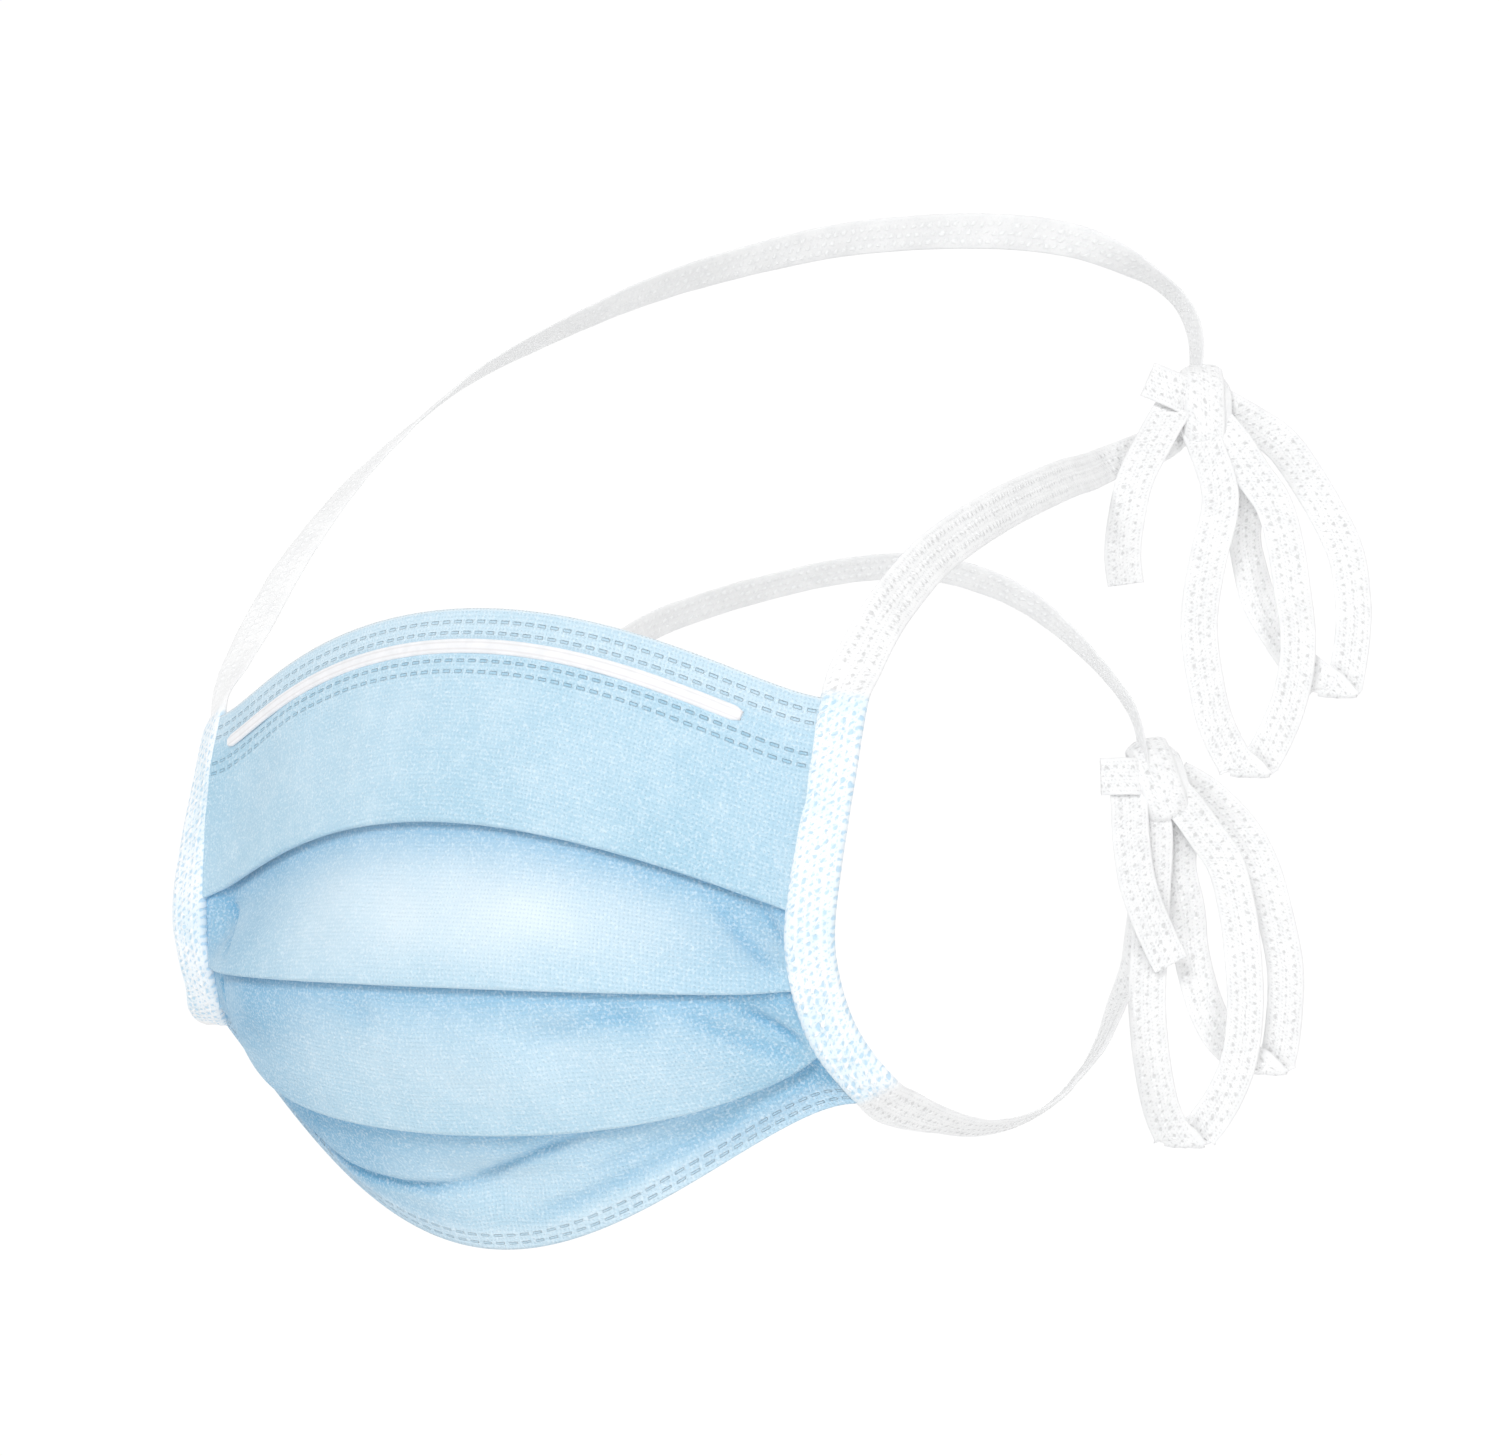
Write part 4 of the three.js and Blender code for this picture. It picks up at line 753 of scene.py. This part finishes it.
def cloth_piece(material):
    """The pleated cloth with its hems, folded layers and side tabs, as one sheet."""
    t = np.sin(np.linspace(-1, 1, STATIONS) * 1.25) / math.sin(1.25)
    points, faces, panels, shares, creases = cloth_lines(t)
    steps = np.linalg.norm(np.diff(points, axis=1), axis=2)
    top = np.concatenate([np.zeros((STATIONS, 1)), np.cumsum(steps, axis=1)], axis=1)
    bottom = top[:, -1:] - top
    along = np.concatenate([[0], np.cumsum(np.linalg.norm(np.diff(points[:, 0], axis=0), axis=1))])
    along = np.repeat((along - along[STATIONS // 2])[:, None], points.shape[1], 1)
    soft = ripple(along, top, 34, 5) * 0.45 + ripple(along, top * 1.4, 13, 9) * 0.12
    calm = 4 * shares * (1 - shares) * np.where(panels > 0, 1, 0.6)
    edge_fade = smoothstep(1 - np.abs(t), 0.0, 0.08)[:, None]
    points = points + faces * (soft * calm[None, :] * edge_fade)[..., None]
    hem = np.maximum(
        1 - smoothstep(top, 0.6 * HEM_HEIGHT, HEM_HEIGHT),
        1 - smoothstep(bottom, LOWER_HEM, LOWER_HEM + 0.6),
    )
    wall = CLOTH_WALL + (HEM_WALL - CLOTH_WALL) * hem
    outer = points + faces * wall[..., None] / 2
    inner = points - faces * wall[..., None] / 2
    tabs = side_tabs(points)
    outer = np.concatenate([(outer[0] + tabs[0])[None], outer, (outer[-1] + tabs[1])[None]])
    inner = np.concatenate([(inner[0] + tabs[0])[None], inner, (inner[-1] + tabs[1])[None]])

    def wider(values):
        return np.concatenate([values[:1], values, values[-1:]])

    top, bottom, along = wider(top), wider(bottom), wider(along)
    # Painted shade just below each lip, fading down the panel.
    under_lip_shade = np.where((panels > 0), np.exp(-shares * 5.0), 0.0)[None, :] * np.ones_like(top)
    rings = np.concatenate([outer, inner[:, ::-1]], axis=1)
    flag = np.concatenate([np.zeros_like(top), np.ones_like(top)], axis=1)
    pale, deep = cloth_painted_light_shade(wider(t)[:, None], shares, panels, along, top, wider(creases))
    attributes = {
        "grain": triples(both_faces(along), both_faces(top), flag),
        "hem": triples(both_faces(top), both_faces(bottom), both_faces(under_lip_shade)),
        "light_and_shade": triples(both_faces(pale), both_faces(deep), both_faces(pale * 0)),
    }
    caps = end_caps(rings.shape[1])
    piece = make_piece("mask_cloth", rings, False, caps, attributes, material, ["mask_body"])


def wire_piece(material):
    """The flat nose strip on the top hem."""
    x = np.linspace(-WIRE_FAR, WIRE_NEAR, WIRE_STATIONS)
    wrap = math.radians(EDGES[0][3])
    t = np.arcsin(x * math.sin(wrap) / (HALF_CHORD * EDGES[0][0])) / wrap
    start = edge_point(EDGES[0], t)
    chord = edge_point(EDGES[1], t) - start
    height = np.linalg.norm(chord, axis=1)
    way = chord / height[:, None]
    face = unit(np.cross(way, across_at(EDGES[0], t)))
    lift = PANEL_BULGE[0] * WIRE_DROP * (1 - WIRE_DROP / height)
    centre = start + way * WIRE_DROP + face * (lift + HEM_WALL / 2 + WIRE_LIFT)[:, None]
    size = np.tile([WIRE_WIDTH, WIRE_THICK], (len(x), 1))
    rows = np.concatenate([centre, face, size], axis=1)
    rows[:, 6] *= np.clip(np.minimum(x - x[0], x[-1] - x) / 1.2, 0.35, 1) ** 0.5
    return strip_piece("nose_strip", rows, material, ["nose_wire"], None, 10, dots=0.0)


# Tape

def dot_relief(along, across):
    """Height of the raised dots beside the tape's hollows, from nought to one."""
    row = np.clip(np.round(across / DOT_GAP), -1, 1)
    step = (along + row * DOT_SLANT * DOT_PITCH - 0.55) / DOT_PITCH
    front = (step % 1 - 0.5) * DOT_PITCH
    return np.exp(-(front ** 2 + (across - row * DOT_GAP - 0.3) ** 2) / (2 * 0.4 ** 2))


def hinged(rows, distance, aside, width, hinge):
    """The strip's width turned to the line of a flat fold along that fold."""
    lowest = distance[np.argmin(rows[:, 2])]
    share = 1 - smoothstep(np.abs(distance - lowest), 2.2, 7.5)
    slant = np.clip(np.abs(aside @ hinge), 0.75, 1)
    along_hinge = hinge * np.sign(aside @ hinge)[:, None]
    turned = unit(aside * (1 - share[:, None]) + along_hinge * share[:, None])
    return turned, width * (1 + share * (1 / slant - 1))


def strip_rings(rows, distance, tint, sides, dots, hinge):
    """Rings round a flat strip with rounded edges and embossed dots, with what its material needs to know.

    hinge is the line of a flat fold, or None.
    """
    centre, face, width, thick = rows[:, :3], rows[:, 3:6], rows[:, 6], rows[:, 7]
    way = unit(np.gradient(centre, axis=0))
    aside = unit(np.cross(way, face))
    if hinge is not None:
        aside, width = hinged(rows, distance, aside, width, hinge)
    up = unit(np.cross(aside, way))
    up = up * np.sign(np.sum(up * face, axis=1, keepdims=True))
    share = np.sin(np.linspace(-1, 1, sides + 1) * math.pi / 2 * 0.93) / math.sin(math.pi / 2 * 0.93)
    share = 0.5 * share + 0.5 * np.linspace(-1, 1, sides + 1)
    across = share[None, :] * width[:, None] / 2
    warp = ripple(distance[:, None], across * 1.5, 16, 11) * 0.10 * (dots > 0)
    lift = dots * dot_relief(distance[:, None], across) * (1 - 0.6 * tint[:, None])
    height = thick[:, None] / 2 * rounded(share, 0.25)[None, :]
    flat = centre[:, None] + aside[:, None] * across[..., None]
    front = flat + up[:, None] * (height + lift + warp)[..., None]
    back = flat - up[:, None] * (height + lift - warp)[..., None]
    rings = np.concatenate([front, back[:, ::-1]], axis=1)
    length = np.repeat(distance[:, None], sides + 1, 1)
    shade = np.repeat(tint[:, None], sides + 1, 1)
    return rings, triples(both_faces(length), both_faces(across), both_faces(shade))


def strip_piece(
    name, rows, material, nodes, tint, sides=STRIP_SIDES, dots=DOT_LIFT, hinge=None, faint=False,
):
    """Flat strip through rows of point, face, width and thickness."""
    columns = rows if tint is None else np.concatenate([rows, tint[:, None]], axis=1)
    fine, distance = even(columns, ROW_STEP)
    fine[:, 3:6] = unit(fine[:, 3:6])
    shade = np.zeros(len(fine)) if tint is None else fine[:, 8]
    rings, grain = strip_rings(fine, distance, shade, sides, dots, hinge)
    wear_and_shade = np.ones((len(grain), 3))
    # The painted dimple shade is faint on the far tape, except on its binding.
    if faint:
        wear_and_shade[:, 0] = FAINT_SHARE + (1 - FAINT_SHARE) * grain[:, 2]
    marks = {"grain": grain, "wear_and_shade": wear_and_shade}
    return make_piece(name, rings, False, end_caps(rings.shape[1]), marks, material, nodes)


def strip_rows(points, faces, steps):
    """Smooth rows through points with the ways that they face."""
    fine = refine(np.concatenate([points, faces], axis=1), steps)
    size = np.tile([TAPE_WIDTH, TIE_THICK], (len(fine), 1))
    return np.concatenate([fine[:, :3], unit(fine[:, 3:6]), size], axis=1)


def tie_rows(corner, out, face, away, knot, table, side, rise):
    base = corner + out * TAPE_WIDTH / 2
    line = knot - base
    points, faces = [base + away * CORNER_COVER], [face]
    for along, aside, up, turn, tip in table:
        points.append(base + line * along + np.array([side * HEAD_BULGE * aside, 0, rise * up]))
        faces.append(facing(turn, tip))
    points.append(knot)
    faces.append(faces[-1])
    return strip_rows(np.array(points), np.array(faces), 14)


def side_tape(name, side, upper, lower, material):
    """One strip: the upper tie, the binding of the side edge and the lower tie."""
    points, out, face, down = side_rows(side, 14)
    top = tie_rows(points[0], out[0], face[0], -down[0], UPPER_KNOT, upper, side, CROWN_RISE)
    low = tie_rows(points[-1], out[-1], face[-1], down[-1], LOWER_KNOT, lower, side, NAPE_RISE)
    binding = np.concatenate([
        points + out * TAPE_WIDTH / 2, face, np.tile([TAPE_WIDTH, BINDING_THICK], (len(points), 1)),
    ], axis=1)
    rows = np.concatenate([top[::-1], binding, low])
    marks = np.concatenate([np.zeros(len(top)), np.ones(len(binding)), np.zeros(len(low))])
    even_rows, _ = even(np.concatenate([rows, marks[:, None]], axis=1), ROW_STEP)
    even_rows[:, :6] = blur(even_rows[:, :6], 15)
    even_rows[:, 7] = blur(even_rows[:, 7:8], 12)[:, 0]
    return strip_piece(name, even_rows[:, :8], material, [name], even_rows[:, 8], faint=side < 0)


def bow_point(knot, across, up, front):
    right = np.array([math.cos(math.radians(BOW_TURN)), math.sin(math.radians(BOW_TURN)), 0])
    return knot + right * across + facing(BOW_TURN, 0) * front + np.array([0, 0, up])


def strand_rows(knot, length, table, steps=10):
    points = np.array([bow_point(knot, a * length, -d * length, f * BOW_DEPTH) for a, d, f, _, _ in table])
    faces = np.array([facing(BOW_TURN + turn, tip) for _, _, _, turn, tip in table])
    return strip_rows(points, faces, steps)


def loop_rows(knot, length, left, right, fold):
    turns = []
    for angle in (0, 45, 90, 135, 180):
        turns.append((
            fold[0] + (angle / 90 - 1) * 0.6 * FOLD_RADIUS / length,
            fold[1] - (1 - math.sin(math.radians(angle))) * FOLD_RADIUS / length,
            fold[2] + math.cos(math.radians(angle)) * FOLD_RADIUS / BOW_DEPTH, 0, -angle,
        ))
    up = [(a, d, f, -turn, -180 + tip) for a, d, f, turn, tip in right]
    return strand_rows(knot, length, [*left, *turns, *up])


def knot_frame(knot, lean):
    right = np.array([math.cos(math.radians(BOW_TURN)), math.sin(math.radians(BOW_TURN)), 0])
    cosine, sine = math.cos(math.radians(lean)), math.sin(math.radians(lean))
    axis = right * cosine + np.array([0, 0, sine])
    upwards = np.array([0, 0, cosine]) - right * sine
    middle = bow_point(knot, 0.14 * KNOT_HEIGHT, -0.05 * KNOT_HEIGHT, 0)
    return middle, axis, upwards, facing(BOW_TURN, 0)


def knot_band(name, knot, lean, material):
    """The turn of tape round the gathered strands."""
    middle, axis, upwards, front = knot_frame(knot, lean)
    around, sides = 96, 14
    angles = np.arange(around) * math.tau / around
    share = np.linspace(-1, 1, sides + 1)
    high = np.sign(np.cos(angles)) * np.abs(np.cos(angles)) ** 0.9
    deep = np.sign(np.sin(angles)) * np.abs(np.sin(angles)) ** 0.9
    distance = angles * (KNOT_HEIGHT + KNOT_DEPTH) / 4
    crumple = ripple(distance[:, None], share[None, :] * 5, 11, 21) * 0.5 * (1 - 0.4 * np.abs(share))
    crumple = crumple - 0.9 * np.abs(share) ** 3
    relief = dot_relief(distance[:, None], share[None, :] * TAPE_WIDTH / 2)
    outer = crumple + 0.2 * relief - 0.5 * (1 - rounded(share, 0.2))[None, :]

    def shell(grow):
        half_high = KNOT_HEIGHT / 2 + grow
        half_deep = KNOT_DEPTH / 2 + grow
        spot = middle + axis * (share[None, :] * BAND_WIDTH / 2)[..., None]
        spot = spot + upwards * (high[:, None] * half_high)[..., None]
        return spot + front * (deep[:, None] * half_deep)[..., None]

    rings = np.concatenate([shell(outer), shell(0 * outer - BAND_WALL)[:, ::-1]], axis=1)
    length = np.repeat(distance[:, None], sides + 1, 1)
    spread = np.repeat(share[None, :] * TAPE_WIDTH / 2, around, 0)
    grain = triples(both_faces(length), both_faces(spread), both_faces(0 * length))
    marks = {"grain": grain, "wear_and_shade": np.ones_like(grain)}
    make_piece(f"{name}_band", rings, True, [], marks, material, [name])


def knot_core(name, knot, lean, material):
    """The gathered tape inside the turn."""
    middle, axis, upwards, front = knot_frame(knot, lean)
    slices, spokes = 25, 40
    turns = np.arange(spokes) * math.tau / spokes
    places = np.linspace(-1, 1, slices)
    swell = np.sqrt(1 - 0.75 * places ** 2)
    creases = 1 + 0.05 * np.sin(turns[None, :] * 5 + places[:, None] * 2)
    heights = np.cos(turns)[None, :] * swell[:, None] * creases * (KNOT_HEIGHT / 2 - CORE_INSET)
    depths = np.sin(turns)[None, :] * swell[:, None] * creases * (KNOT_DEPTH / 2 - CORE_INSET)
    core = middle + axis * (places[:, None, None] * KNOT_CORE / 2)
    core = core + upwards * heights[..., None] + front * depths[..., None]
    length = np.repeat(places[:, None] * 7, spokes, 1)
    spread = np.repeat(turns[None, :] * 5, slices, 0)
    grain = triples(length, spread, 0 * length)
    marks = {"grain": grain, "wear_and_shade": np.ones_like(grain)}
    make_piece(f"{name}_core", core, False, [tuple(range(spokes))], marks, material, [name])


def knot_piece(name, knot, lean, flap, material):
    """A turn of tape round gathered strands, with a small folded end."""
    knot_band(name, knot, lean, material)
    knot_core(name, knot, lean, material)
    points = []
    for across, up, front, _, _ in flap:
        points.append(bow_point(knot, across * KNOT_HEIGHT, up * KNOT_HEIGHT, front * KNOT_DEPTH))
    faces = np.array([facing(BOW_TURN + turn, tip) for _, _, _, turn, tip in flap])
    rows = strip_rows(np.array(points), faces, 12)
    strip_piece(f"{name}_flap", rows, material, [name], None)


# Scene

def add_camera():
    turn, tip, roll = (math.radians(angle) for angle in (CAMERA_TURN, CAMERA_TIP, CAMERA_ROLL))
    right = np.array([math.cos(turn), math.sin(turn), 0])
    back = np.array([math.sin(turn) * math.cos(tip), -math.cos(turn) * math.cos(tip), math.sin(tip)])
    up = np.cross(back, right)
    level = right * math.cos(roll) - up * math.sin(roll)
    upright = right * math.sin(roll) + up * math.cos(roll)
    data = bpy.data.cameras.new("camera")
    data.lens = CAMERA_LENS
    data.sensor_fit = "HORIZONTAL"
    data.sensor_width = SENSOR_WIDTH
    data.clip_start = NEAR_CLIP
    data.clip_end = FAR_CLIP
    camera = bpy.data.objects.new("camera", data)
    rows = np.eye(4)
    rows[:3, 0], rows[:3, 1], rows[:3, 2] = level, upright, back
    rows[:3, 3] = np.array(CAMERA_PLACE) * METRE
    camera.matrix_world = Matrix(rows.tolist())
    bpy.context.scene.collection.objects.link(camera)
    bpy.context.scene.camera = camera


def add_light(name, place, target, size, power):
    data = bpy.data.lights.new(name, "AREA")
    data.shape = "DISK"
    data.size = size
    data.energy = power
    light = bpy.data.objects.new(name, data)
    light.location = place
    way = np.array(place) - np.array(target)
    light.rotation_euler = Vector(way.tolist()).to_track_quat("Z", "Y").to_euler()
    bpy.context.scene.collection.objects.link(light)


def add_stage():
    bpy.ops.mesh.primitive_plane_add(size=FLOOR_SIZE, location=(0, 0, FLOOR_HEIGHT))
    floor = bpy.context.object
    floor.name = "floor"
    material, tree, shader = new_material("floor")
    place = add_node(tree, "ShaderNodeTexCoord").outputs["Object"]
    soft = noise(tree, place, 2.0, 2.0, 0.5)
    pale = blend_colour(tree, soft, (0.93, 0.93, 0.93), (0.96, 0.96, 0.96))
    tree.links.new(pale, shader.inputs["Base Color"])
    shader.inputs["Roughness"].default_value = 0.9
    floor.data.materials.append(material)
    world = bpy.data.worlds.new("studio")
    world.use_nodes = True
    sky = world.node_tree
    turn = math.radians(CAMERA_TURN)
    way = add_node(sky, "ShaderNodeTexCoord").outputs["Generated"]
    forward = (-math.sin(turn), math.cos(turn), 0)
    ahead = add_node(sky, "ShaderNodeVectorMath", {0: way, 1: forward}, operation="DOT_PRODUCT")
    brighter = calc(sky, "MULTIPLY", ramp(sky, ahead.outputs["Value"], -0.6, 0.3), SKY_FRONT - SKY_BACK)
    strength = calc(sky, "ADD", brighter, SKY_BACK)
    background = sky.nodes["Background"]
    background.inputs[0].default_value = (1.0, 1.0, 1.0, 1)
    sky.links.new(strength, background.inputs[1])
    bpy.context.scene.world = world
    bpy.context.scene.view_settings.view_transform = "Standard"


add_camera()
add_stage()
add_light("key", (0.35, -1.15, 0.7), (0, 0.05, -0.05), 0.5, 8.3)
add_light("fill", (1.3, -0.4, 0.3), (0, 0.1, 0), 0.8, 4.2)
add_light("under", (0.3, -0.9, -0.9), (0, 0.1, 0), 0.6, 2.8)

cloth = cloth_material()
tape = tape_material()
cloth_piece(cloth)
wire_piece(wire_material())
side_tape("right_tape", -1, UPPER_RIGHT_TIE, LOWER_RIGHT_TIE, tape)
side_tape("left_tape", 1, UPPER_LEFT_TIE, LOWER_LEFT_TIE, tape)
knot_piece("upper_knot", UPPER_KNOT, UPPER_LEAN, UPPER_FLAP, tape)
knot_piece("lower_knot", LOWER_KNOT, LOWER_LEAN, LOWER_FLAP, tape)
loops = (
    ("upper_loop_front", UPPER_KNOT, UPPER_LOOP, UPPER_FRONT_LEFT, UPPER_FRONT_RIGHT, UPPER_FRONT_FOLD),
    ("upper_loop_back", UPPER_KNOT, UPPER_LOOP, UPPER_BACK_LEFT, UPPER_BACK_RIGHT, UPPER_BACK_FOLD),
    ("lower_loop_front", LOWER_KNOT, LOWER_LOOP, LOWER_FRONT_LEFT, LOWER_FRONT_RIGHT, LOWER_FRONT_FOLD),
    ("lower_loop_back", LOWER_KNOT, LOWER_LOOP, LOWER_BACK_LEFT, LOWER_BACK_RIGHT, LOWER_BACK_FOLD),
)
bow_across = facing(BOW_TURN + 90, 0)
for name, knot, length, left, right, fold in loops:
    rows = loop_rows(knot, length, left, right, fold)
    strip_piece(name, rows, tape, [name], None, hinge=bow_across)
tails = (
    ("upper_tail", UPPER_KNOT, UPPER_LOOP, UPPER_TAIL),
    ("lower_tail", LOWER_KNOT, LOWER_LOOP, LOWER_TAIL),
)
for name, knot, length, table in tails:
    strip_piece(name, strand_rows(knot, length, table), tape, [name], None)
